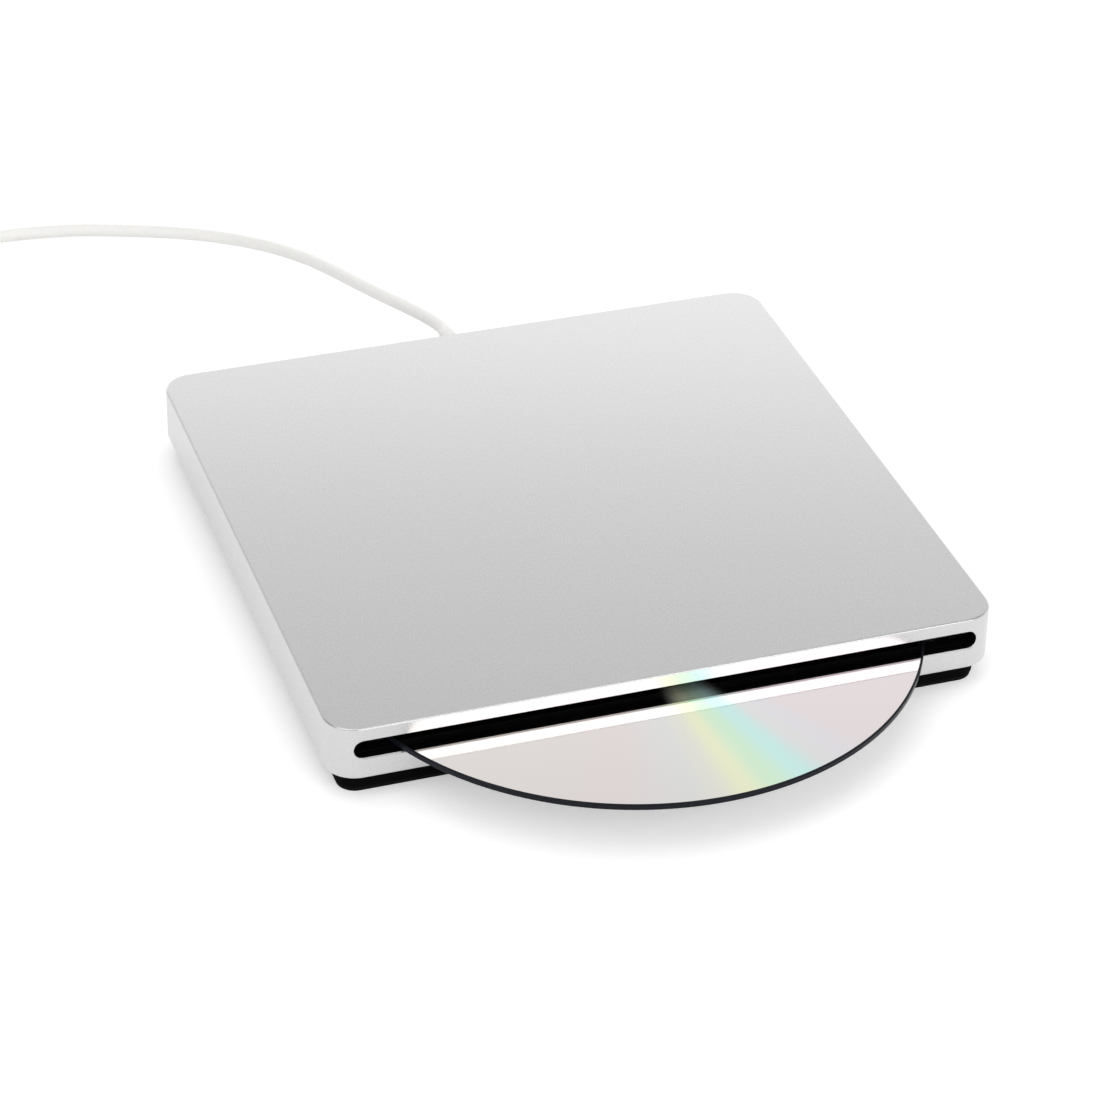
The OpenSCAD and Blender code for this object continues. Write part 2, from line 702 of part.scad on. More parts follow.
module traverse_frame() color("dimgray") at_traverse() difference() {
  union() {
    block(frame_u0, frame_u1, frame_v0, frame_v1, frame_z, frame_top);
    for (p = damper_places) post(p, damper_r + 1, frame_z, frame_top);
  }
  block(motor_plate_r + 0.5, lens_out + sled_half_l + end_gap, -rod_v + 2.4, rod_v - 2.4,
        frame_z - cut, frame_top + cut);
  for (p = damper_places) post(p, damper_hole_r, frame_z - cut, frame_top + cut);
}

module dampers() color("#202020") at_traverse() for (p = damper_places) difference() {
  union() {
    post(p, damper_r, deck_z, frame_z);
    post(p, damper_hole_r - fit, deck_z, frame_top + damper_collar);
    post(p, damper_r, frame_top, frame_top + damper_collar);
  }
  post(p, thread_r + thread_fit, deck_z - cut, frame_top + damper_collar + cut);
}

module damper_screws() color("gray") at_traverse()
  for (p = damper_places)
    screw(p, frame_top + damper_collar, 0.6, frame_top + damper_collar - chassis_z, 1);

module spindle_base() color("darkkhaki") at_traverse() ring(1.5, motor_plate_r, frame_top, plate_top);

module spindle_bearing() color("goldenrod") at_traverse()
  ring(spindle_shaft_r + fit, sleeve_r, plate_top, rotor_top - rotor_roof - slide_gap);

module stator_core() color("steelblue") at_traverse() {
  ring(sleeve_r + fit, core_r, core_z - core_t / 2, core_z + core_t / 2);
  for (i = [0 : arms - 1]) rotate(360 * i / arms)
    block(core_r - 0.4, arm_r, -0.6, 0.6, core_z - core_t / 2, core_z + core_t / 2);
}

module stator_coils() color("chocolate") at_traverse() for (i = [0 : arms - 1]) rotate(360 * i / arms)
  translate([core_r + 1.2, 0, core_z]) difference() {
    translate([0, -coil_w / 2, -coil_t / 2]) cube([coil_l, coil_w, coil_t]);
    translate([-cut, -0.6 - fit, -core_t / 2 - fit])
      cube([coil_l + 2 * cut, 1.2 + 2 * fit, core_t + 2 * fit]);
  }

module claw_cut(room) {
  for (i = [0 : 2]) rotate(120 * i)
    translate([hub_r - claw[0] + 0.1 - room, -claw[1] / 2 - room, rotor_top + 0.3 - room])
      cube([claw[0] + 2 * room, claw[1] + 2 * room, claw[2] + 2 * room]);
}

module spindle_rotor() color("silver") at_traverse() difference() {
  union() {
    ring(spindle_shaft_r + fit, rotor_r, rotor_top - rotor_roof, rotor_top);
    ring(rotor_r - rotor_wall, rotor_r, plate_top + slide_gap, rotor_top);
    difference() {
      union() {
        translate([0, 0, rotor_top]) cylinder(h = hub_h - hub_bevel, r = hub_r);
        translate([0, 0, hub_top - hub_bevel]) cylinder(h = hub_bevel, r1 = hub_r, r2 = hub_r - 0.8);
      }
      translate([0, 0, rotor_top - cut]) cylinder(h = hub_h + 2 * cut, r = spindle_shaft_r + fit);
    }
  }
  claw_cut(fit);
}

module spindle_shaft() color("lightgray") at_traverse()
  translate([0, 0, plate_top + 0.1]) cylinder(h = hub_top - 0.2 - plate_top, r = spindle_shaft_r);

module turntable_pad() color("#252525") at_traverse()
  ring(hub_r + 1.2, rotor_r - 0.5, rotor_top, rotor_top + pad_t);

module hub_claws() color("whitesmoke") at_traverse() claw_cut(0);

module guide_rods() color("lightgray") at_traverse() for (s = [-1, 1])
  bar_x(rod_u0, frame_u1, s * rod_v, rod_z, rod_r);

// Blocks that carry the ends of the guide rods and the free end of the lead screw
module rod_holders() color("slategray") at_traverse() {
  for (s = [-1, 1], u = [rod_u0, frame_u1 - holder_l]) difference() {
    block(u, u + holder_l, s * rod_v - holder_half_w, s * rod_v + holder_half_w, frame_top, rod_z + 1.6);
    bar_x(u - cut, u + holder_l + cut, s * rod_v, rod_z, rod_r + fit);
  }
  difference() {
    block(screw_u1 - holder_l, screw_u1, screw_v - 1.6, screw_v + 1.6, frame_top, rod_z + 1.6);
    bar_x(screw_u1 - holder_l - cut, screw_u1 + cut, screw_v, rod_z, screw_end_r + fit);
  }
}

module pickup_sled() color("darkslategray") at_traverse() translate([lens_in, 0, 0]) difference() {
  block(-sled_half_l, sled_half_l, -sled_half_w, sled_half_w, sled_z0, sled_z1);
  block(-pocket_half_u, pocket_half_u, -pocket_half_v, pocket_half_v, pocket_z, sled_z1 + cut);
  for (s = [-1, 1])
    bar_x(-sled_half_l - cut, sled_half_l + cut, s * rod_v, rod_z, rod_r + bush_wall + fit);
}

module sled_bushes() color("goldenrod") at_traverse() translate([lens_in, 0, 0])
  for (s = [-1, 1]) difference() {
    bar_x(-sled_half_l, sled_half_l, s * rod_v, rod_z, rod_r + bush_wall);
    bar_x(-sled_half_l - cut, sled_half_l + cut, s * rod_v, rod_z, rod_r + fit);
  }

module lens_magnets() color("dimgray") at_traverse() translate([lens_in, 0, 0]) for (s = [-1, 1])
  translate([s * (pocket_half_u - magnet_t / 2), 0, (pocket_z + sled_z1) / 2])
    cube([magnet_t, 2 * holder_half_v, sled_z1 - pocket_z], center = true);

module sled_rack() color("ivory") at_traverse()
  translate([lens_in, 0, 0])
    block(-3.5, 3.5, screw_v + screw_r + slide_gap, -sled_half_w, rod_z - 0.8, rod_z + 0.8);

module lens_holder() color("#303840") at_traverse() translate([lens_in, 0, 0]) difference() {
  block(-holder_half_u, holder_half_u, -holder_half_v, holder_half_v, lens_holder_z, lens_holder_top);
  translate([0, 0, lens_holder_z - cut]) cylinder(h = cut + 0.4, r = lens_r - 0.4);
  translate([0, 0, lens_holder_z + 0.3]) cylinder(h = lens_holder_top, r = lens_r + fit);
}

module objective_lens() color("lightblue") at_traverse() translate([lens_in, 0, lens_holder_z + 0.3]) {
  seat = lens_holder_top - lens_holder_z - 0.4;
  cylinder(h = seat, r = lens_r);
  translate([0, 0, seat]) cylinder(h = 0.2, r1 = lens_r, r2 = lens_r - 0.6);
}

// The ridge winds round as an off-centre core that is turned along its length
module lead_screw() color("lightgray") at_traverse() {
  ridge = 0.2;
  thread_u0 = screw_u0 + 0.3;
  thread_u1 = screw_u1 - holder_l - 0.3;
  turns = (thread_u1 - thread_u0) / screw_pitch;
  translate([thread_u0, screw_v, rod_z]) rotate([90, 0, 90])
    linear_extrude(thread_u1 - thread_u0, twist = -360 * turns, slices = ceil(turns * 8), $fn = 13)
      translate([ridge, 0]) circle(screw_r - ridge);
  bar_x(screw_u0 - 2, thread_u0 + 0.5, screw_v, rod_z, screw_end_r);
  bar_x(thread_u1 - 0.5, screw_u1, screw_v, rod_z, screw_end_r);
}

module sled_motor() color("darkgray") at_traverse() difference() {
  block(sled_motor_u1 - sled_motor_l, sled_motor_u1, screw_v - sled_motor_half_w,
        screw_v + sled_motor_half_w, frame_top, frame_top + sled_motor_h);
  bar_x(screw_u0 - 2.2, screw_u0 + cut, screw_v, rod_z, screw_end_r + fit);
}

// Boards

module main_board() color("darkgreen") difference() {
  translate([0, 0, board_z]) linear_extrude(board_t) polygon([
    [board_x1, board_line - board_x1], [board_x1, board_y1 - board_corner],
    [board_x1 - board_corner, board_y1], [board_line - board_y1, board_y1]
  ]);
  for (p = board_pillars) post(p, thread_r + 2 * thread_fit, board_z - cut, board_top + cut);
}

module board_screws() color("gray")
  for (p = board_pillars) screw(p, board_top, 0.6, board_top - chassis_z, 1);

// A chip set in from the right and rear edges of the board by shares of the board's legs
module chip(right_share, rear_share, w, d, h) {
  right = board_x1 - right_share * board_leg;
  rear = board_y1 - rear_share * board_leg;
  block(right - w, right, rear - d, rear, board_top, board_top + h);
}

module board_chips() color("#202428") {
  big = 0.148 * board_leg;
  wide = 0.085 * board_leg;
  deep = 0.137 * board_leg;
  small = 0.095 * board_leg;
  chip(0.127, 0.275, big, big, chip_h);
  chip(0.328, 0.127, wide, deep, chip_h);
  chip(0.085, 0.529, small, small, chip_h);
  chip(0.487, 0.106, 0.053 * board_leg, 0.034 * board_leg, chip_h);
  for (i = [0 : 3]) chip(0.095 + 0.032 * i, 0.471, 0.017 * board_leg, 0.0095 * board_leg, 0.8);
  at_traverse()
    block(flex_u, flex_u + flex_w + 1, flex_socket_v - 3, flex_socket_v, board_top, frame_top + 1);
}

module flex_cable() color("chocolate") at_traverse()
  block(flex_u + 0.5, flex_u + flex_w + 0.5, flex_socket_v, screw_v + screw_r, frame_top, frame_top + flex_t);

module drive_connector() color("#181818")
  block(connector_x - connector_w / 2, connector_x + connector_w / 2, connector_rear - connector_d,
        connector_rear, board_top, board_top + connector_h);

module usb_board() color("darkgreen")
  block(-8, connector_x + connector_w / 2 + 2, usb_board_y, usb_board_back, usb_board_z0, usb_board_z1);

module usb_chips() color("#202428") {
  for (c = [[8, 5, 1], [20, 3, 0.8], [26, 1.6, 0.6]])
    block(c[0], c[0] + c[1], usb_board_back, usb_board_back + c[2], cord_z - c[1] / 2, cord_z + c[1] / 2);
}

// Lead

module cable_leads() color("darkred") for (i = [-1.5 : 1 : 1.5])
  translate([1.3 * i, usb_board_back, cord_z]) rotate([-90, 0, 0])
    cylinder(h = rear_in - relief_flange_t - usb_board_back, r = 0.5);

module strain_relief() color("whitesmoke") translate([0, 0, cord_z]) rotate([-90, 0, 0]) {
  translate([0, 0, rear_in - relief_flange_t]) cylinder(h = relief_flange_t, r = relief_flange_r);
  translate([0, 0, rear_in - relief_flange_t / 2])
    cylinder(h = side_wall + relief_flange_t, r = relief_neck_r);
  translate([0, 0, body_d / 2]) cylinder(h = relief_flange_t, r = relief_flange_r);
  translate([0, 0, body_d / 2 + relief_flange_t / 2])
    cylinder(h = relief_l - relief_flange_t / 2, r1 = relief_neck_r, r2 = cord_d / 2 + 0.4);
}

// One closed tube along a list of points
function unit(v) = v / norm(v);
function heading(p, i) = unit(p[min(i + 1, len(p) - 1)] - p[max(i - 1, 0)]);
module tube(p, r, sides) {
  rings = [for (i = [0 : len(p) - 1])
    let (t = heading(p, i), side = unit(cross(t, [0, 0, 1])), up = cross(side, t))
    for (k = [0 : sides - 1]) p[i] + r * (cos(360 * k / sides) * side + sin(360 * k / sides) * up)];
  last = (len(p) - 1) * sides;
  walls = [for (i = [0 : len(p) - 2], k = [0 : sides - 1])
    let (a = i * sides + k, b = i * sides + (k + 1) % sides)
    each [[a, b, b + sides], [a, b + sides, a + sides]]];
  caps = [for (k = [1 : sides - 2]) each [[0, k + 1, k], [last, last + k, last + k + 1]]];
  polyhedron(points = rings, faces = concat(walls, caps));
}

// The coil winds in on the table, climbs a layer in half a turn, winds out again and runs to the plug
function coil_radius(a) =
  a < 360 * spiral_turns ? coil_end_r - coil_step * a / 360 :
  a < 360 * spiral_turns + 180 ? coil_r : coil_r + coil_step * (a - 360 * spiral_turns - 180) / 360;
function coil_height(a) = coil_z + coil_layer * max(0, min(1, (a - 360 * spiral_turns) / 180));
function coil_point(a) = [
  coil_centre[0] + coil_radius(a) * cos(90 + a),
  coil_centre[1] + coil_radius(a) * sin(90 + a),
  coil_height(a)
];
coil_rings = coil_turns * loop_rings;
coil_loops = [for (i = [0 : coil_rings]) coil_point(360 * i / loop_rings)];
tail_drop = coil_z + coil_layer - plug_z;
coil_tail = [for (k = [1 : 4])
  [plug_x, coil_centre[1] - k * (tail_l - cord_d) / 4, plug_z + tail_drop * (1 + cos(45 * k)) / 2]];
coil_line = concat(
  [[coil_centre[0] + cord_d, coil_centre[1] + coil_end_r, coil_z]],
  coil_loops, coil_tail, [[plug_x, plug_y, plug_z]]
);
coil_gaps = [for (i = [0 : coil_rings], j = [i + loop_rings / 2 : coil_rings])
  norm(coil_loops[i] - coil_loops[j]) - cord_d];
echo(least_gap_between_coil_turns = min(coil_gaps));

module usb_cord() color("whitesmoke") tube(cord_route, cord_d / 2, cord_sides);

module cord_coil() color("whitesmoke") tube(coil_line, cord_d / 2, coil_sides);

module cord_tie() color("dimgray") {
  under = coil_radius(tie_angle - 90);
  over = coil_radius(tie_angle - 90 + 360);
  r0 = min(under, over) - cord_d / 2 - tie_gap;
  r1 = max(under, over) + cord_d / 2 + tie_gap;
  z0 = coil_z - cord_d / 2 - 0.1;
  z1 = coil_z + coil_layer + cord_d / 2 + tie_gap;
  translate([coil_centre[0], coil_centre[1], 0]) rotate(tie_angle) difference() {
    block(r0 - tie_t, r1 + tie_t, -tie_w / 2, tie_w / 2, z0 - tie_t, z1 + tie_t);
    block(r0, r1, -tie_w, tie_w, z0, z1);
  }
}

// Plug, lying flat beside the coil with its mouth towards the front

module plug_grip() color("whitesmoke") translate([plug_x, plug_y, plug_z]) rotate([90, 0, 0])
  linear_extrude(grip_l) rounded(grip_w / 2, grip_h / 2, 1.6);

module plug_shell() color("silver") translate([plug_x, plug_y - grip_l, plug_z]) difference() {
  rotate([90, 0, 0]) linear_extrude(plug_l) rounded(shell_w / 2, shell_h / 2, 0.4);
  translate([0, cut, 0]) rotate([90, 0, 0])
    linear_extrude(plug_l + 2 * cut) square([shell_w - 2 * shell_t, shell_h - 2 * shell_t], center = true);
  for (s = [-1, 1]) translate([s * 2.5, -plug_l / 2, 0]) cube([2, 2.2, shell_h + 2], center = true);
}

module plug_tongue() color("white") translate([plug_x, plug_y - grip_l, plug_z])
  block(-shell_w / 2 + shell_t + fit, shell_w / 2 - shell_t - fit, -plug_l + 0.3, 0,
        -shell_h / 2 + shell_t + fit, -shell_h / 2 + shell_t + fit + tongue_t);

module plug_contacts() color("gold") translate([plug_x, plug_y - grip_l, plug_z])
  for (x = [-3.5, -1, 1, 3.5])
    block(x - 0.5, x + 0.5, -plug_l + 1.5, 0, -shell_h / 2 + shell_t + fit + tongue_t,
          -shell_h / 2 + shell_t + fit + tongue_t + 0.2);

module disc() color("lightcyan") translate([spindle_x, disc_y, 0])
  ring(disc_hole_d / 2, disc_r, disc_z, disc_top);

top_shell();
base_cover();
foot_mat();
base_screws();
slot_bezel();
upper_felt();
lower_felt();
chassis();
chassis_screws();
mech_cover();
cover_screws();
upper_guides();
roller_brackets();
roller_bushes();
roller_shaft();
roller_sleeves();
roller_gear();
reduction_gear();
gear_axle();
load_motor();
motor_shaft();
motor_pinion();
traverse_frame();
dampers();
damper_screws();
spindle_base();
spindle_bearing();
stator_core();
stator_coils();
spindle_rotor();
spindle_shaft();
turntable_pad();
hub_claws();
guide_rods();
rod_holders();
pickup_sled();
sled_bushes();
lens_magnets();
sled_rack();
lens_holder();
objective_lens();
lead_screw();
sled_motor();
main_board();
board_screws();
board_chips();
flex_cable();
drive_connector();
usb_board();
usb_chips();
cable_leads();
strain_relief();
usb_cord();
cord_coil();
cord_tie();
plug_grip();
plug_shell();
plug_tongue();
plug_contacts();
disc();
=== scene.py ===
"""A slot-loading disc drive in satin silver, with a disc half out of its slot and a short white lead."""
import json
from math import cos, pi, radians, sin

import bmesh
import bpy
from mathutils import Matrix, Vector


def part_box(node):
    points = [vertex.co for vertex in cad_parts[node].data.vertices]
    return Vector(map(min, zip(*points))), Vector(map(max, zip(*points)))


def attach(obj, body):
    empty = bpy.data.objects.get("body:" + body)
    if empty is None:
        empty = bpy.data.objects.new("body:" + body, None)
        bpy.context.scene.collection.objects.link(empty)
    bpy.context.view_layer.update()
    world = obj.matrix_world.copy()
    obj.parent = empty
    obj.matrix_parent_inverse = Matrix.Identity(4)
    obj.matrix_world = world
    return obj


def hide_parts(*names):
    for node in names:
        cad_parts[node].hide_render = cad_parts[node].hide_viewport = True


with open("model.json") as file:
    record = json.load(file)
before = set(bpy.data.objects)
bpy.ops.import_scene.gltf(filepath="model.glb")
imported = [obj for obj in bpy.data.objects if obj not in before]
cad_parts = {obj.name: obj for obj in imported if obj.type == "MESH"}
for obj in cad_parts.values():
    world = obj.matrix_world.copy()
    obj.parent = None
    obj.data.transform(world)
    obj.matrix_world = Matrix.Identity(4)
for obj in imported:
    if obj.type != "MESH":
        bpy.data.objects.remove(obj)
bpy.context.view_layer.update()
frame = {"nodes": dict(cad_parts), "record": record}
nodes = frame["nodes"]
scene = bpy.context.scene
scene.view_settings.view_transform = "Standard"
MM = 0.001


def middle_of(node_name):
    low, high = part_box(node_name)
    return (low + high) / 2


# Camera

CAMERA_PLACE = Vector((-0.21704, -0.62357, 0.43473))
CAMERA_AZIMUTH = radians(-18.9566)
CAMERA_ELEVATION = radians(33.2107)
CAMERA_ROLL = radians(1.0929)
CAMERA_LENS = 123.55


def make_camera():
    back = Vector((
        sin(CAMERA_AZIMUTH) * cos(CAMERA_ELEVATION),
        -cos(CAMERA_AZIMUTH) * cos(CAMERA_ELEVATION),
        sin(CAMERA_ELEVATION),
    ))
    level = Vector((0, 0, 1)).cross(back).normalized()
    upright = back.cross(level)
    right = cos(CAMERA_ROLL) * level + sin(CAMERA_ROLL) * upright
    up = cos(CAMERA_ROLL) * upright - sin(CAMERA_ROLL) * level
    data = bpy.data.cameras.new("camera")
    data.sensor_width = 36
    data.lens = CAMERA_LENS
    data.clip_start = 0.01
    camera = bpy.data.objects.new("camera", data)
    turn = Matrix((right, up, back)).transposed().to_4x4()
    camera.matrix_world = Matrix.Translation(CAMERA_PLACE) @ turn
    scene.collection.objects.link(camera)
    scene.camera = camera


make_camera()


# Steps that the finishes share

GRAIN_DETAIL = 3.0
GRAIN_LOW = 0.3
GRAIN_HIGH = 0.7
GLOSS_SPREAD = 0.12
BUMP_STRENGTH = 0.6
WAVE_UNIT = 2 * pi / 20


def new_material(name):
    material = bpy.data.materials.new(name)
    material.use_nodes = True
    tree = material.node_tree
    return material, tree.nodes, tree.links, tree.nodes["Principled BSDF"]


def own_place(tree_nodes, links, centre=(0, 0, 0), turn=0):
    """The piece's own coordinates, measured from a centre and turned about Z."""
    place = tree_nodes.new("ShaderNodeTexCoord")
    mapping = tree_nodes.new("ShaderNodeMapping")
    mapping.vector_type = "TEXTURE"
    mapping.inputs["Location"].default_value = centre
    mapping.inputs["Rotation"].default_value = (0, 0, turn)
    links.new(place.outputs["Object"], mapping.inputs["Vector"])
    return mapping.outputs["Vector"]


def noise(tree_nodes, links, scale, stretch):
    """Fine noise on the piece's own coordinates, in patterns per metre."""
    place = tree_nodes.new("ShaderNodeTexCoord")
    mapping = tree_nodes.new("ShaderNodeMapping")
    mapping.inputs["Scale"].default_value = stretch
    texture = tree_nodes.new("ShaderNodeTexNoise")
    texture.inputs["Scale"].default_value = scale
    texture.inputs["Detail"].default_value = GRAIN_DETAIL
    links.new(place.outputs["Object"], mapping.inputs["Vector"])
    links.new(mapping.outputs["Vector"], texture.inputs["Vector"])
    return texture.outputs["Fac"]


def wave(tree_nodes, links, kind, direction, period, centre=(0, 0, 0), turn=0):
    """Even stripes or rings on the piece's own coordinates, one to each period."""
    stripes = tree_nodes.new("ShaderNodeTexWave")
    stripes.wave_type = kind
    stripes.bands_direction = direction
    stripes.rings_direction = direction
    stripes.inputs["Scale"].default_value = WAVE_UNIT / period
    links.new(own_place(tree_nodes, links, centre, turn), stripes.inputs["Vector"])
    return stripes.outputs["Fac"]


def ramp(tree_nodes, links, value, stops, between="LINEAR"):
    node = tree_nodes.new("ShaderNodeValToRGB")
    node.color_ramp.interpolation = between
    elements = node.color_ramp.elements
    while len(elements) < len(stops):
        elements.new(0.5)
    for element, (place, colour) in zip(elements, stops):
        element.position = place
        element.color = (*colour, 1)
    links.new(value, node.inputs["Fac"])
    return node.outputs["Color"]


def greys(stops):
    return [(place, (level, level, level)) for place, level in stops]


def spread(tree_nodes, links, value, low, high, start=0, end=1):
    """A level that goes from low to high as the value goes from start to end."""
    node = tree_nodes.new("ShaderNodeMapRange")
    node.inputs["From Min"].default_value = start
    node.inputs["From Max"].default_value = end
    node.inputs["To Min"].default_value = low
    node.inputs["To Max"].default_value = high
    links.new(value, node.inputs["Value"])
    return node.outputs["Result"]


def combine(tree_nodes, links, operation, first, second):
    node = tree_nodes.new("ShaderNodeMath")
    node.operation = operation
    links.new(first, node.inputs[0])
    links.new(second, node.inputs[1])
    return node.outputs["Value"]


def roughen(tree_nodes, links, shader, height, depth):
    """Raises the surface by a height of up to the depth, in millimetres."""
    bump = tree_nodes.new("ShaderNodeBump")
    bump.inputs["Strength"].default_value = BUMP_STRENGTH
    bump.inputs["Distance"].default_value = depth * MM
    links.new(height, bump.inputs["Height"])
    links.new(bump.outputs["Normal"], shader.inputs["Normal"])


def grained(name, colour, metallic, roughness, scale, variation, depth, stretch=(1, 1, 1), gloss=0.5):
    """A finish whose colour, gloss and surface all vary with one fine grain."""
    material, tree_nodes, links, shader = new_material(name)
    grain = noise(tree_nodes, links, scale, stretch)
    dark = [c * (1 - variation) for c in colour]
    light = [min(1, c * (1 + variation)) for c in colour]
    shades = ramp(tree_nodes, links, grain, [(GRAIN_LOW, dark), (GRAIN_HIGH, light)])
    links.new(shades, shader.inputs["Base Color"])
    smooth = roughness * (1 - GLOSS_SPREAD)
    rough = roughness * (1 + GLOSS_SPREAD)
    links.new(spread(tree_nodes, links, grain, smooth, rough), shader.inputs["Roughness"])
    roughen(tree_nodes, links, shader, grain, depth)
    shader.inputs["Metallic"].default_value = metallic
    shader.inputs["Specular IOR Level"].default_value = gloss
    return material


def clear_finish(name, colour, roughness, scale, passed, bend):
    """A clear finish that lets a share of the light through and bends it."""
    material = grained(name, colour, 0, roughness, scale, 0.02, 0.001)
    shader = material.node_tree.nodes["Principled BSDF"]
    shader.inputs["Transmission Weight"].default_value = passed
    shader.inputs["IOR"].default_value = bend
    return material


# Finishes of single pieces

STRAP_TURN = 210
STRAP_ANGLE = radians(90 + STRAP_TURN)
WEAVE = 0.5 * MM
WIRE_D = 0.18 * MM
TRACK_L = 17 * MM
TRACK_PITCH = 0.9 * MM
TRACK_GAP = 0.14 * MM
PADS_PER_METRE = 260
PAD_STOPS = [(0.13, (1, 1, 1)), (0.16, (0, 0, 0))]
# Angle of the painted rainbow reflection on the disc, fixed on the disc rather than following the light.
PAINTED_RAINBOW_ANGLE = radians(-81.6)
DISC_SILVER = (0.92, 0.915, 0.91)
# Painted rainbow reflection: silver with pink, yellow, green, cyan and lavender bands fanned round the disc
# from that angle.
DISC_PAINTED_RAINBOW = [
    (0.0, DISC_SILVER), (0.36, (0.95, 0.90, 0.87)), (0.42, (0.95, 0.88, 0.87)), (0.458, DISC_SILVER),
    (0.472, (0.95, 0.94, 0.86)), (0.487, (0.98, 1.0, 0.72)), (0.503, (0.76, 1.0, 0.76)),
    (0.520, (0.69, 1.0, 0.96)), (0.538, DISC_SILVER), (0.548, (0.92, 0.90, 0.94)),
    (0.566, (0.96, 0.875, 0.885)), (0.62, (0.95, 0.87, 0.88)), (0.72, DISC_SILVER),
]
# Metallic eased down within the rainbow streak, so its painted colour also shows as a painted glint in dark
# surroundings.
PAINTED_GLINT_METALLIC = [(0.0, 1.0), (0.468, 1.0), (0.492, 0.74), (0.514, 0.74), (0.538, 1.0)]


def woven_strap():
    """Threads that cross over and under each other, along the strap and across it, painted lighter where
    they lie on top and darker where they pass under: painted highlight and painted shade.
    """
    material, tree_nodes, links, shader = new_material("tie_grey")
    across = wave(tree_nodes, links, "BANDS", "Y", WEAVE, turn=STRAP_ANGLE)
    along = wave(tree_nodes, links, "BANDS", "Z", WEAVE)
    crossed = combine(tree_nodes, links, "MULTIPLY", across, along)
    # Near black where the threads dip under and lighter grey where they cross on top: painted shade and
    # painted highlight.
    colours = [(0.0, (0.07, 0.07, 0.075)), (1.0, (0.30, 0.30, 0.31))]
    links.new(ramp(tree_nodes, links, crossed, colours), shader.inputs["Base Color"])
    roughen(tree_nodes, links, shader, crossed, 0.12)
    shader.inputs["Roughness"].default_value = 0.9
    return material


def wound_copper():
    """Enamelled wire laid turn by turn along each arm, so its turns lie in rings about the spindle, with
    painted shade between the turns and a painted highlight on each turn's crest.
    """
    material, tree_nodes, links, shader = new_material("copper_wire")
    turns = wave(tree_nodes, links, "RINGS", "Z", WIRE_D, middle_of("spindle_shaft"))
    # Dark brown between the turns and bright copper on their crests: painted shade and painted highlight.
    colours = [(0.0, (0.30, 0.10, 0.04)), (0.5, (0.72, 0.34, 0.16)), (1.0, (0.86, 0.46, 0.22))]
    links.new(ramp(tree_nodes, links, turns, colours), shader.inputs["Base Color"])
    roughen(tree_nodes, links, shader, turns, 0.08)
    shader.inputs["Metallic"].default_value = 0.9
    shader.inputs["Roughness"].default_value = 0.32
    return material


def printed_board():
    """Green mask over rows of copper tracks, with tinned pads scattered over it."""
    material, tree_nodes, links, shader = new_material("board_green")
    place = own_place(tree_nodes, links)
    tracks = tree_nodes.new("ShaderNodeTexBrick")
    tracks.inputs["Color1"].default_value = (0.022, 0.150, 0.060, 1)
    tracks.inputs["Color2"].default_value = (0.028, 0.185, 0.075, 1)
    tracks.inputs["Mortar"].default_value = (0.050, 0.300, 0.120, 1)
    tracks.inputs["Scale"].default_value = 1.0
    tracks.inputs["Brick Width"].default_value = TRACK_L
    tracks.inputs["Row Height"].default_value = TRACK_PITCH
    tracks.inputs["Mortar Size"].default_value = TRACK_GAP
    links.new(place, tracks.inputs["Vector"])
    pads = tree_nodes.new("ShaderNodeTexVoronoi")
    pads.inputs["Scale"].default_value = PADS_PER_METRE
    links.new(place, pads.inputs["Vector"])
    tinned = ramp(tree_nodes, links, pads.outputs["Distance"], PAD_STOPS)
    blend = tree_nodes.new("ShaderNodeMix")
    blend.data_type = "RGBA"
    colours = [socket for socket in blend.inputs if socket.type == "RGBA"]
    colours[1].default_value = (0.62, 0.60, 0.55, 1)
    links.new(tinned, blend.inputs["Factor"])
    links.new(tracks.outputs["Color"], colours[0])
    links.new(next(s for s in blend.outputs if s.type == "RGBA"), shader.inputs["Base Color"])
    roughen(tree_nodes, links, shader, tracks.outputs["Fac"], 0.03)
    shader.inputs["Roughness"].default_value = 0.33
    return material


def disc_silver():
    """A bright metal layer with a painted rainbow reflection: its colours fan out round the disc from one
    fixed direction, and within the streak the metal gives way to diffuse colour as a painted glint.
    """
    material, tree_nodes, links, shader = new_material("disc_silver")
    split = tree_nodes.new("ShaderNodeSeparateXYZ")
    links.new(own_place(tree_nodes, links, middle_of("disc"), PAINTED_RAINBOW_ANGLE), split.inputs["Vector"])
    angle = combine(tree_nodes, links, "ARCTAN2", split.outputs["Y"], split.outputs["X"])
    fanned = spread(tree_nodes, links, angle, 0, 1, -pi, pi)
    # Base colour and metallic carry the painted rainbow reflection and the painted glint.
    links.new(ramp(tree_nodes, links, fanned, DISC_PAINTED_RAINBOW, "EASE"), shader.inputs["Base Color"])
    links.new(ramp(tree_nodes, links, fanned, greys(PAINTED_GLINT_METALLIC), "EASE"), shader.inputs["Metallic"])
    shader.inputs["Roughness"].default_value = 0.05
    return material


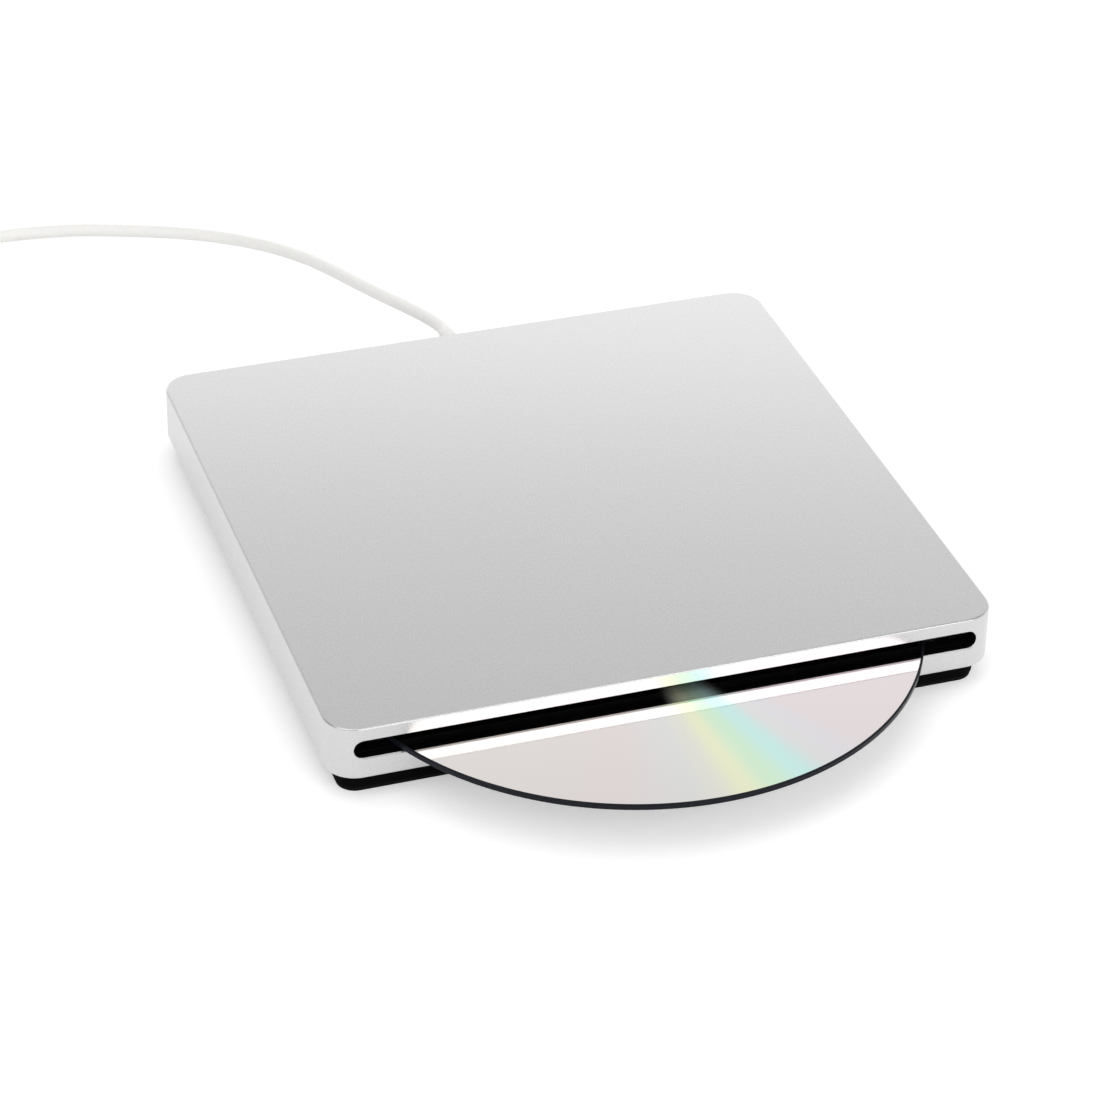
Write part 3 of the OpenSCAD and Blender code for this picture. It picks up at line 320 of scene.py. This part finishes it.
ALONG_X = (0.04, 1, 1)
FINISHES = {
    "satin_silver": grained("satin_silver", (0.62, 0.62, 0.624), 0.90, 0.28, 6500, 0.025, 0.0012),
    "base_black": grained("base_black", (0.003, 0.003, 0.0031), 0, 0.7, 3200, 0.25, 0.02, gloss=0.02),
    "rubber_black": grained("rubber_black", (0.006, 0.006, 0.006), 0, 0.85, 1800, 0.2, 0.03, gloss=0.1),
    "felt_black": grained("felt_black", (0.004, 0.004, 0.0042), 0, 0.95, 5200, 0.5, 0.12, gloss=0.02),
    "slot_black": grained("slot_black", (0.003, 0.003, 0.0032), 0, 0.8, 3200, 0.25, 0.02, gloss=0.04),
    "sheet_steel": grained("sheet_steel", (0.62, 0.63, 0.64), 1, 0.34, 900, 0.07, 0.01, ALONG_X),
    "screw_steel": grained("screw_steel", (0.45, 0.45, 0.46), 1, 0.3, 2600, 0.1, 0.01),
    "ground_steel": grained("ground_steel", (0.70, 0.70, 0.71), 1, 0.20, 4000, 0.03, 0.0006),
    "white_acetal": grained("white_acetal", (0.82, 0.81, 0.77), 0, 0.4, 1500, 0.03, 0.01),
    "brass": grained("brass", (0.78, 0.60, 0.28), 1, 0.28, 3000, 0.06, 0.006),
    "motor_can": grained("motor_can", (0.58, 0.58, 0.58), 1, 0.3, 1600, 0.06, 0.008, ALONG_X),
    "dark_casting": grained("dark_casting", (0.09, 0.095, 0.10), 0.3, 0.5, 2400, 0.15, 0.03),
    "copper_wire": wound_copper(),
    "core_steel": grained("core_steel", (0.35, 0.38, 0.42), 1, 0.4, 3000, 0.1, 0.02),
    "magnet_grey": grained("magnet_grey", (0.20, 0.20, 0.21), 0.8, 0.45, 2000, 0.1, 0.02),
    "lens_glass": clear_finish("lens_glass", (0.75, 0.85, 0.95), 0.05, 900, 0.8, 1.5),
    "board_green": printed_board(),
    "chip_black": grained("chip_black", (0.025, 0.026, 0.028), 0, 0.6, 4200, 0.2, 0.02),
    "flex_amber": grained("flex_amber", (0.60, 0.32, 0.08), 0, 0.3, 900, 0.12, 0.01),
    "lead_red": grained("lead_red", (0.50, 0.05, 0.04), 0, 0.4, 1500, 0.08, 0.01),
    "cord_white": grained("cord_white", (0.92, 0.912, 0.89), 0, 0.42, 1300, 0.02, 0.01),
    "tie_grey": woven_strap(),
    "plug_steel": grained("plug_steel", (0.66, 0.66, 0.66), 1, 0.25, 2200, 0.05, 0.006),
    "contact_gold": grained("contact_gold", (0.83, 0.65, 0.27), 1, 0.2, 2600, 0.05, 0.004),
    "disc_silver": disc_silver(),
}
DISC_RIM = grained("disc_rim", (0.011, 0.0125, 0.017), 0, 0.25, 2600, 0.3, 0.004, gloss=0.09)
DISC_BAND = grained("disc_band", (0.86, 0.86, 0.87), 1, 0.10, 1800, 0.03, 0.002)
DISC_CLEAR = clear_finish("disc_clear", (0.86, 0.88, 0.90), 0.06, 700, 0.75, 1.55)
DISC_LABEL = grained("disc_label", (0.42, 0.42, 0.43), 0, 0.55, 2400, 0.04, 0.006)

for subpart in frame["record"]["subparts"]:
    node_materials = nodes[subpart["node"]].data.materials
    node_materials.clear()
    node_materials.append(FINISHES[subpart["material_slot"]])


# Lead, on the route of the part's own cord, in millimetres

CORD_D = 3.0
CORD_ROUTE = [
    (0, 81, 9.2), (0, 84, 9.2), (-0.7, 87, 9.1), (-2.2, 91, 8.95), (-4, 95, 8.75), (-6, 99.2, 8.5),
    (-8.3, 104, 8.2), (-10.7, 109.4, 7.8), (-13.2, 115.6, 7.3), (-16, 122.6, 6.7), (-19, 129.6, 5.9),
    (-22.8, 136.6, 5), (-27.6, 143.2, 4.2), (-33.4, 149.4, 3.4), (-40.2, 154.8, 2.8),
    (-47.8, 159.4, 2.3), (-56, 163.2, 2), (-64.6, 166, 2), (-73.4, 167.8, 2), (-82.4, 168.7, 2),
    (-91.4, 169, 2), (-98, 169, 2), (-105, 169, 2), (-112, 169, 2),
]
COIL_TURNS = 2.25
COIL_R = 15.0
COIL_STEP = 4.0
COIL_LAYER = 3.6
COIL_Z = 2.0
TAIL_L = 16.0
TAIL_POINTS = 4
PLUG_Z = 4.0
SPIRAL_DEG = 360 * (COIL_TURNS - 0.5) / 2
COIL_END_R = COIL_R + COIL_STEP * SPIRAL_DEG / 360
COIL_X = CORD_ROUTE[-1][0] - CORD_D
COIL_Y = CORD_ROUTE[-1][1] - COIL_END_R
LOOP_POINTS = 24


def coil_radius(angle):
    if angle < SPIRAL_DEG:
        return COIL_END_R - COIL_STEP * angle / 360
    return COIL_R + COIL_STEP * max(0, angle - SPIRAL_DEG - 180) / 360


def coil_point(angle):
    radius = coil_radius(angle)
    climb = max(0, min(1, (angle - SPIRAL_DEG) / 180))
    turn = radians(90 + angle)
    return (COIL_X + radius * cos(turn), COIL_Y + radius * sin(turn), COIL_Z + COIL_LAYER * climb)


def tail_point(share):
    """A point between the coil and the plug, easing from one height down to the other."""
    drop = COIL_Z + COIL_LAYER - PLUG_Z
    y = COIL_Y - share * (TAIL_L - CORD_D)
    return (COIL_X - COIL_END_R, y, PLUG_Z + drop * (1 + cos(pi * share)) / 2)


def lead_points():
    loops = [coil_point(360 * i / LOOP_POINTS) for i in range(int(COIL_TURNS * LOOP_POINTS) + 1)]
    tail = [tail_point(i / TAIL_POINTS) for i in range(1, TAIL_POINTS + 1)]
    end = [(COIL_X - COIL_END_R, COIL_Y - TAIL_L, PLUG_Z)]
    return [Vector(p) * MM for p in CORD_ROUTE + loops + tail + end]


def make_lead(on_lead):
    points = lead_points()
    curve = bpy.data.curves.new("attached_lead", "CURVE")
    curve.dimensions = "3D"
    curve.bevel_depth = CORD_D / 2 * MM
    curve.bevel_resolution = 5
    curve.resolution_u = 4
    curve.use_fill_caps = True
    spline = curve.splines.new("BEZIER")
    spline.bezier_points.add(len(points) - 1)
    for knot, point in zip(spline.bezier_points, points):
        knot.co = point
        knot.handle_left_type = "AUTO"
        knot.handle_right_type = "AUTO"
    lead = bpy.data.objects.new("attached_lead", curve)
    scene.collection.objects.link(lead)
    curve.materials.append(FINISHES["cord_white"])
    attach(lead, "case")
    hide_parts("usb_cord", "cord_coil")


# Shapes that the pieces share

MERGE = 0.002 * MM
LEVEL_NEAR = 0.04 * MM
LEVEL_TURN = radians(60)
CORNER_STEPS = 20
EDGE_STEPS = 3
SHARP_DEG = 35


def block(low, high):
    """A box between two corners."""
    shape = bmesh.new()
    bmesh.ops.create_cube(shape, size=1)
    bmesh.ops.scale(shape, verts=shape.verts, vec=high - low)
    bmesh.ops.translate(shape, verts=shape.verts, vec=(low + high) / 2)
    return shape


def rounded_block(half_x, half_y, radius, z0, z1, edge, steps=CORNER_STEPS):
    """A block with round corners in plan, and its top and bottom edges softened."""
    shape = block(Vector((-half_x, -half_y, z0)), Vector((half_x, half_y, z1)))
    upright = [e for e in shape.edges if abs(e.verts[0].co.z - e.verts[1].co.z) > edge]
    bmesh.ops.bevel(
        shape, geom=upright, offset=radius, affect="EDGES", segments=steps, profile=0.5, material=-1,
    )
    bmesh.ops.remove_doubles(shape, verts=shape.verts, dist=MERGE)
    if edge:
        level = [
            e for e in shape.edges
            if abs(e.verts[0].co.z - e.verts[1].co.z) < LEVEL_NEAR and e.calc_face_angle(0) > LEVEL_TURN
        ]
        bmesh.ops.bevel(
            shape, geom=level, offset=edge, affect="EDGES", segments=EDGE_STEPS, profile=0.5, material=-1,
        )
    return shape


ROD_TURNS = {"X": Matrix.Rotation(pi / 2, 4, "Y"), "Y": Matrix.Rotation(pi / 2, 4, "X"), "Z": Matrix()}


def rod(middle, axis, radius, length, sides):
    """A round bar along one axis."""
    shape = bmesh.new()
    bmesh.ops.create_cone(
        shape, cap_ends=True, segments=sides, radius1=radius, radius2=radius, depth=length,
        matrix=Matrix.Translation(middle) @ ROD_TURNS[axis],
    )
    return shape


def turned(section, steps):
    """A closed section of radius and height, turned once round the Z axis."""
    shape = bmesh.new()
    corners = [shape.verts.new((r, 0, z)) for r, z in section]
    edges = [shape.edges.new((a, b)) for a, b in zip(corners, corners[1:] + corners[:1])]
    bmesh.ops.spin(
        shape, geom=corners + edges, cent=(0, 0, 0), axis=(0, 0, 1), angle=2 * pi, steps=steps,
        use_merge=True,
    )
    bmesh.ops.remove_doubles(shape, verts=shape.verts, dist=MERGE)
    on_axis = [edge for edge in shape.edges if not edge.link_faces]
    bmesh.ops.delete(shape, geom=on_axis, context="EDGES")
    bmesh.ops.recalc_face_normals(shape, faces=shape.faces)
    return shape


def joined(first, *steps):
    """The first shape, with each further shape cut from it or added to it in turn."""
    def hold(shape):
        mesh = bpy.data.meshes.new("shape")
        shape.to_mesh(mesh)
        shape.free()
        holder = bpy.data.objects.new("shape", mesh)
        scene.collection.objects.link(holder)
        return holder

    base = hold(first)
    others = []
    for operation, shape in steps:
        other = hold(shape)
        others.append(other)
        change = base.modifiers.new(operation, "BOOLEAN")
        change.operation = operation
        change.solver = "EXACT"
        change.object = other
    evaluated = base.evaluated_get(bpy.context.evaluated_depsgraph_get())
    result = bmesh.new()
    result.from_mesh(evaluated.to_mesh())
    evaluated.to_mesh_clear()
    for holder in [base, *others]:
        bpy.data.objects.remove(holder)
    bmesh.ops.remove_doubles(result, verts=result.verts, dist=MERGE)
    return result


def finish_piece(shape, name, slot_name, body, replaced, sharp=SHARP_DEG):
    for edge in shape.edges:
        edge.smooth = edge.calc_face_angle(0) < radians(sharp)
    mesh = bpy.data.meshes.new(name)
    shape.to_mesh(mesh)
    shape.free()
    piece = bpy.data.objects.new(name, mesh)
    scene.collection.objects.link(piece)
    piece.data.materials.append(FINISHES[slot_name])
    mesh.shade_smooth()
    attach(piece, body)
    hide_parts(*replaced)
    return piece


def even_faces(piece):
    weighted = piece.modifiers.new("even_faces", "WEIGHTED_NORMAL")
    weighted.keep_sharp = True


# Disc

DISC_BORE_R = 7.5 * MM
DISC_SOFT = 0.15 * MM
DISC_STEPS = 192
RIM_BAND = 0.45 * MM
DATA_R = 22.5 * MM
CLEAR_R = 18.0 * MM
GROOVE_R = 17.0 * MM
GROOVE = 0.3 * MM
GROOVE_DEEP = 0.1 * MM


def make_disc():
    """Data face up, with a mirror band and a clear hub inside it, a plain matt face below and a dark rim."""
    low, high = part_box("disc")
    radius = (high.x - low.x) / 2
    soft = radius - DISC_SOFT
    rim_start = radius - RIM_BAND
    shape = turned([
        (DISC_BORE_R, low.z), (CLEAR_R, low.z), (rim_start, low.z), (soft, low.z),
        (radius, low.z + DISC_SOFT), (radius, high.z - DISC_SOFT), (soft, high.z), (rim_start, high.z),
        (DATA_R, high.z), (CLEAR_R, high.z), (GROOVE_R + GROOVE, high.z), (GROOVE_R, high.z - GROOVE_DEEP),
        (GROOVE_R - GROOVE, high.z), (DISC_BORE_R, high.z),
    ], DISC_STEPS)
    data_face, rim, band, clear, label = range(5)
    for face in shape.faces:
        reach = sum(v.co.xy.length for v in face.verts) / len(face.verts)
        if reach > rim_start:
            face.material_index = rim
        elif reach < CLEAR_R:
            face.material_index = clear
        elif face.normal.z < 0:
            face.material_index = label
        else:
            face.material_index = band if reach < DATA_R else data_face
    bmesh.ops.translate(shape, verts=shape.verts, vec=((low.x + high.x) / 2, (low.y + high.y) / 2, 0))
    disc = finish_piece(shape, "bright_disc", "disc_silver", "disc", ["disc"])
    for finish in (DISC_RIM, DISC_BAND, DISC_CLEAR, DISC_LABEL):
        disc.data.materials.append(finish)


make_disc()


# Shell

CORNER_R = 6.5 * MM
SIDE_WALL = 1.6 * MM
TOP_WALL = 1.2 * MM
EDGE = 0.4 * MM
SLOT_HALF = 64.4 * MM
SLOT_LOW = 9.45 * MM
SLOT_HIGH = 13.35 * MM
SLOT_LIP = 0.25 * MM
SLOT_STEPS = 8
CORD_HOLE_R = 2.95 * MM
CORD_HOLE_SIDES = 48
CORD_Z = 9.2 * MM
PAST = 1.0 * MM
FACE_NEAR = 0.1 * MM
BOSS_R = 2.6 * MM
BOSS_SIDES = 32
BOSS_RIB = 1.6 * MM
BOSS_FOOT = 6.0 * MM
BOSS_GAP = 0.2 * MM
SCREW_HEAD_R = 1.9 * MM
THREAD_R = 1.05 * MM
THREAD_PAST = 0.5 * MM


def slot_cutter(front, back):
    """A round-ended bar along Y, flared in front of the lip so that the slot's edge is chamfered."""
    radius = (SLOT_HIGH - SLOT_LOW) / 2
    middle_z = (SLOT_LOW + SLOT_HIGH) / 2
    shape = rounded_block(SLOT_HALF, radius, radius, front + SLOT_LIP, back, 0, SLOT_STEPS)
    lay = Matrix.Translation((0, 0, middle_z)) @ Matrix.Rotation(-pi / 2, 4, "X")
    bmesh.ops.transform(shape, matrix=lay, verts=shape.verts)
    front_face = min(shape.faces, key=lambda face: face.calc_center_median().y)
    flare = bmesh.ops.extrude_discrete_faces(shape, faces=[front_face])["faces"]
    mouth = flare[0].verts[:]
    bmesh.ops.translate(shape, verts=mouth, vec=(0, -SLOT_LIP - PAST, 0))
    grown = (radius + SLOT_LIP + PAST) / radius
    for side in (-1, 1):
        to_end = Matrix.Translation((-side * (SLOT_HALF - radius), 0, -middle_z))
        end = [vert for vert in mouth if vert.co.x * side > 0]
        bmesh.ops.scale(shape, verts=end, vec=(grown, 1, grown), space=to_end)
    bmesh.ops.recalc_face_normals(shape, faces=shape.faces)
    return shape


def shell_bosses(half, ceiling):
    """Posts for the case screws, each tied to its side wall by a rib and drilled from below."""
    screws_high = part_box("base_screws")[1]
    reach = screws_high.x - SCREW_HEAD_R
    bore_top = screws_high.z + THREAD_PAST
    front_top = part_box("slot_bezel")[0].z - BOSS_GAP
    added = []
    drilled = []
    for sx in (-1, 1):
        for sy, top in ((-1, front_top), (1, ceiling + TOP_WALL / 2)):
            place = Vector((sx * reach, sy * reach, 0))
            middle = place + Vector((0, 0, (top + BOSS_FOOT) / 2))
            added.append(("UNION", rod(middle, "Z", BOSS_R, top - BOSS_FOOT, BOSS_SIDES)))
            left, right = sorted((place.x, sx * (half - SIDE_WALL / 2)))
            added.append(("UNION", block(
                Vector((left, place.y - BOSS_RIB / 2, BOSS_FOOT)),
                Vector((right, place.y + BOSS_RIB / 2, top)),
            )))
            bore = place + Vector((0, 0, bore_top / 2))
            drilled.append(("DIFFERENCE", rod(bore, "Z", THREAD_R, bore_top, BOSS_SIDES)))
    return added + drilled


def make_shell():
    low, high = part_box("top_shell")
    half = high.x
    painted_shade_front = -half + SLOT_LIP
    outer = rounded_block(half, half, CORNER_R, low.z, high.z, EDGE)
    inner = rounded_block(
        half - SIDE_WALL, half - SIDE_WALL, CORNER_R - SIDE_WALL, low.z - PAST, high.z - TOP_WALL, 0,
    )
    cord_hole = rod((0, half, CORD_Z), "Y", CORD_HOLE_R, 4 * SIDE_WALL, CORD_HOLE_SIDES)
    shape = joined(
        outer, ("DIFFERENCE", inner), *shell_bosses(half, high.z - TOP_WALL),
        ("DIFFERENCE", slot_cutter(-half, -half + SIDE_WALL + PAST)), ("DIFFERENCE", cord_hole),
    )
    # The slot's cut faces in the front wall take the near-black slot finish: painted shade for the dark
    # inside of the slot.
    for face in shape.faces:
        middle = face.calc_center_median()
        in_height = SLOT_LOW - FACE_NEAR < middle.z < SLOT_HIGH + FACE_NEAR
        in_slot = in_height and abs(middle.x) < SLOT_HALF + FACE_NEAR
        face.material_index = 1 if in_slot and painted_shade_front < middle.y < painted_shade_front + SIDE_WALL else 0
    shell = finish_piece(shape, "satin_shell", "satin_silver", "case", ["top_shell"])
    shell.data.materials.append(FINISHES["slot_black"])
    even_faces(shell)


make_shell()


# Boot, plug and strap

NECK_GAP = 0.05 * MM
NECK_R = CORD_HOLE_R - NECK_GAP
TIP_R = 1.9 * MM
COLLAR_T = 1.0 * MM
BOOT_STEPS = 48
BOOT_SHARP_DEG = 50
RELIEF_RIBS = 6
RIB_DEEP = 0.55 * MM
RIB_PROFILE = ((0.0, 1), (0.13, 0.25), (0.30, 0), (0.66, 0), (0.83, 0.25), (0.96, 1))
RELIEF_EDGE = 0.2 * MM


def make_relief():
    """A turned boot: a collar on each side of the wall, then a taper with rounded ribs."""
    low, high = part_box("strain_relief")
    collar = (high.x - low.x) / 2
    soft = collar - RELIEF_EDGE
    wall_in = low.y + COLLAR_T
    wall_out = wall_in + SIDE_WALL
    taper = wall_out + COLLAR_T
    section = [
        (0, low.y), (soft, low.y), (collar, low.y + RELIEF_EDGE), (collar, wall_in), (NECK_R, wall_in),
        (NECK_R, wall_out), (collar, wall_out), (collar, taper - RELIEF_EDGE), (soft, taper),
    ]
    pitch = (high.y - taper) / RELIEF_RIBS
    for rib in range(RELIEF_RIBS):
        start = taper + rib * pitch
        around = NECK_R + (TIP_R - NECK_R) * rib / (RELIEF_RIBS - 1)
        for share, drop in RIB_PROFILE:
            section.append((around - drop * RIB_DEEP * around / NECK_R, start + share * pitch))
    section += [(TIP_R - RIB_DEEP * TIP_R / NECK_R, high.y), (0, high.y)]
    shape = turned(section, BOOT_STEPS)
    lay = Matrix.Translation((0, 0, CORD_Z)) @ Matrix.Rotation(-pi / 2, 4, "X")
    bmesh.ops.transform(shape, matrix=lay, verts=shape.verts)
    finish_piece(shape, "ribbed_boot", "cord_white", "case", ["strain_relief"], BOOT_SHARP_DEG)


GRIP_ROUND = 1.5 * MM
GRIP_STEPS = 6
GRIP_GROOVES = 5
GROOVE_PITCH = 2.4 * MM
GROOVE_ROD_R = 0.55 * MM
GROOVE_SIDES = 20
GROOVE_SHARE = 0.75


def make_grip():
    """A soft-edged plug body with a row of finger grooves across its top and bottom."""
    low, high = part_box("plug_grip")
    middle = (low + high) / 2
    body = block(low, high)
    bmesh.ops.bevel(
        body, geom=body.edges[:], offset=GRIP_ROUND, affect="EDGES", segments=GRIP_STEPS, profile=0.5,
        material=-1,
    )
    length = GROOVE_SHARE * (high.x - low.x)
    cuts = []
    for groove in range(GRIP_GROOVES):
        y = middle.y + (groove - (GRIP_GROOVES - 1) / 2) * GROOVE_PITCH
        for z in (low.z, high.z):
            cuts.append(("DIFFERENCE", rod((middle.x, y, z), "X", GROOVE_ROD_R, length, GROOVE_SIDES)))
    grip = finish_piece(joined(body, *cuts), "plug_body", "cord_white", "case", ["plug_grip"])
    even_faces(grip)
    return grip


STRAP_T = 0.4 * MM
STRAP_W = 4.0 * MM
STRAP_GAP = 0.35 * MM
STRAP_BEND = 2.0 * MM
STRAP_EDGE = 0.1 * MM
LAP_L = 4.4 * MM


def make_strap():
    """A woven strap that hugs both layers of the coil, with its loose end lapped over outside."""
    low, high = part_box("cord_tie")
    radii = [coil_radius(STRAP_TURN) * MM, coil_radius(STRAP_TURN + 360) * MM]
    half_r = (max(radii) - min(radii) + CORD_D * MM) / 2 + STRAP_GAP + STRAP_T
    half_z = (high.z - low.z) / 2
    half_lap = (STRAP_W - STRAP_T) / 2
    loop = rounded_block(half_r, half_z, STRAP_BEND, -STRAP_W / 2, STRAP_W / 2, STRAP_EDGE)
    bore = rounded_block(half_r - STRAP_T, half_z - STRAP_T, STRAP_BEND - STRAP_T, -STRAP_W, STRAP_W, 0)
    lap = rounded_block(STRAP_T, LAP_L / 2, STRAP_T / 2, -half_lap, half_lap, STRAP_EDGE)
    bmesh.ops.translate(lap, verts=lap.verts, vec=(half_r, 0, 0))
    shape = joined(loop, ("UNION", lap), ("DIFFERENCE", bore))
    outward = Vector((cos(STRAP_ANGLE), sin(STRAP_ANGLE), 0))
    upward = Vector((0, 0, 1))
    lay = Matrix((outward, upward, outward.cross(upward))).transposed().to_4x4()
    middle = Vector((COIL_X * MM, COIL_Y * MM, (low.z + high.z) / 2)) + outward * sum(radii) / 2
    bmesh.ops.transform(shape, matrix=Matrix.Translation(middle) @ lay, verts=shape.verts)
    return finish_piece(shape, "coil_strap", "tie_grey", "case", ["cord_tie"])


make_relief()
make_lead([make_strap(), make_grip(), "plug_shell", "plug_tongue", "plug_contacts"])


# Floor and light

FLOOR_HALF = 3.0
FLOOR_WHITE = (0.86, 0.86, 0.86, 1)
FLOOR_LIFT = 0.36
SKY_GREYS = [(0.0, 1.05), (0.46, 1.05), (0.60, 0.76), (0.70, 0.38), (1.0, 0.38)]
LEFT_DIM = 0.55
FRONT_DIM = 0.8


def make_floor():
    """A white floor, brightened where it is seen directly, mirrored or through a clear piece."""
    shape = bmesh.new()
    bmesh.ops.create_grid(shape, x_segments=1, y_segments=1, size=FLOOR_HALF)
    mesh = bpy.data.meshes.new("floor")
    shape.to_mesh(mesh)
    shape.free()
    floor = bpy.data.objects.new("floor", mesh)
    scene.collection.objects.link(floor)
    material, tree_nodes, links, shader = new_material("floor_white")
    shader.inputs["Base Color"].default_value = FLOOR_WHITE
    shader.inputs["Roughness"].default_value = 1.0
    shader.inputs["Specular IOR Level"].default_value = 0.0
    shader.inputs["Emission Color"].default_value = (1, 1, 1, 1)
    rays = tree_nodes.new("ShaderNodeLightPath").outputs
    mirrored = combine(tree_nodes, links, "MAXIMUM", rays["Is Glossy Ray"], rays["Is Transmission Ray"])
    seen = combine(tree_nodes, links, "MAXIMUM", rays["Is Camera Ray"], mirrored)
    links.new(spread(tree_nodes, links, seen, 0, FLOOR_LIFT), shader.inputs["Emission Strength"])
    floor.data.materials.append(material)


def make_lamp(name, place, target, wide, high, power):
    data = bpy.data.lights.new(name, "AREA")
    data.shape = "RECTANGLE"
    data.size = wide
    data.size_y = high
    data.energy = power
    lamp = bpy.data.objects.new(name, data)
    lamp.location = place
    lamp.rotation_euler = (Vector(target) - Vector(place)).to_track_quat("-Z", "Y").to_euler()
    lamp.visible_camera = False
    scene.collection.objects.link(lamp)


def make_world():
    """A studio that is white low down behind the drive, and dimmer overhead, in front and to the left."""
    world = bpy.data.worlds.new("studio")
    scene.world = world
    world.use_nodes = True
    tree_nodes = world.node_tree.nodes
    links = world.node_tree.links
    place = tree_nodes.new("ShaderNodeTexCoord")
    split = tree_nodes.new("ShaderNodeSeparateXYZ")
    links.new(place.outputs["Generated"], split.inputs["Vector"])
    sky = ramp(tree_nodes, links, split.outputs["Z"], greys(SKY_GREYS))
    from_left = spread(tree_nodes, links, split.outputs["X"], LEFT_DIM, 1, -0.9, 0.1)
    from_front = spread(tree_nodes, links, split.outputs["Y"], FRONT_DIM, 1, -0.5, 0.4)
    background = tree_nodes["Background"]
    links.new(sky, background.inputs["Color"])
    strength = combine(tree_nodes, links, "MULTIPLY", from_left, from_front)
    links.new(strength, background.inputs["Strength"])


make_floor()
make_world()
make_lamp("overhead_key", (-0.10, 0.06, 1.5), (0, 0.02, 0), 1.4, 1.4, 7.0)
make_lamp("left_fill", (-0.75, -0.50, 0.85), (-0.05, 0.05, 0), 0.9, 0.9, 2.7)
make_lamp("rear_strip", (0.12, 0.42, 0.13), (0, 0.05, 0.01), 0.9, 0.24, 0.40)
make_lamp("front_box", (0.38, -1.20, 0.72), (0, -0.07, 0.01), 1.1, 0.8, 4.6)
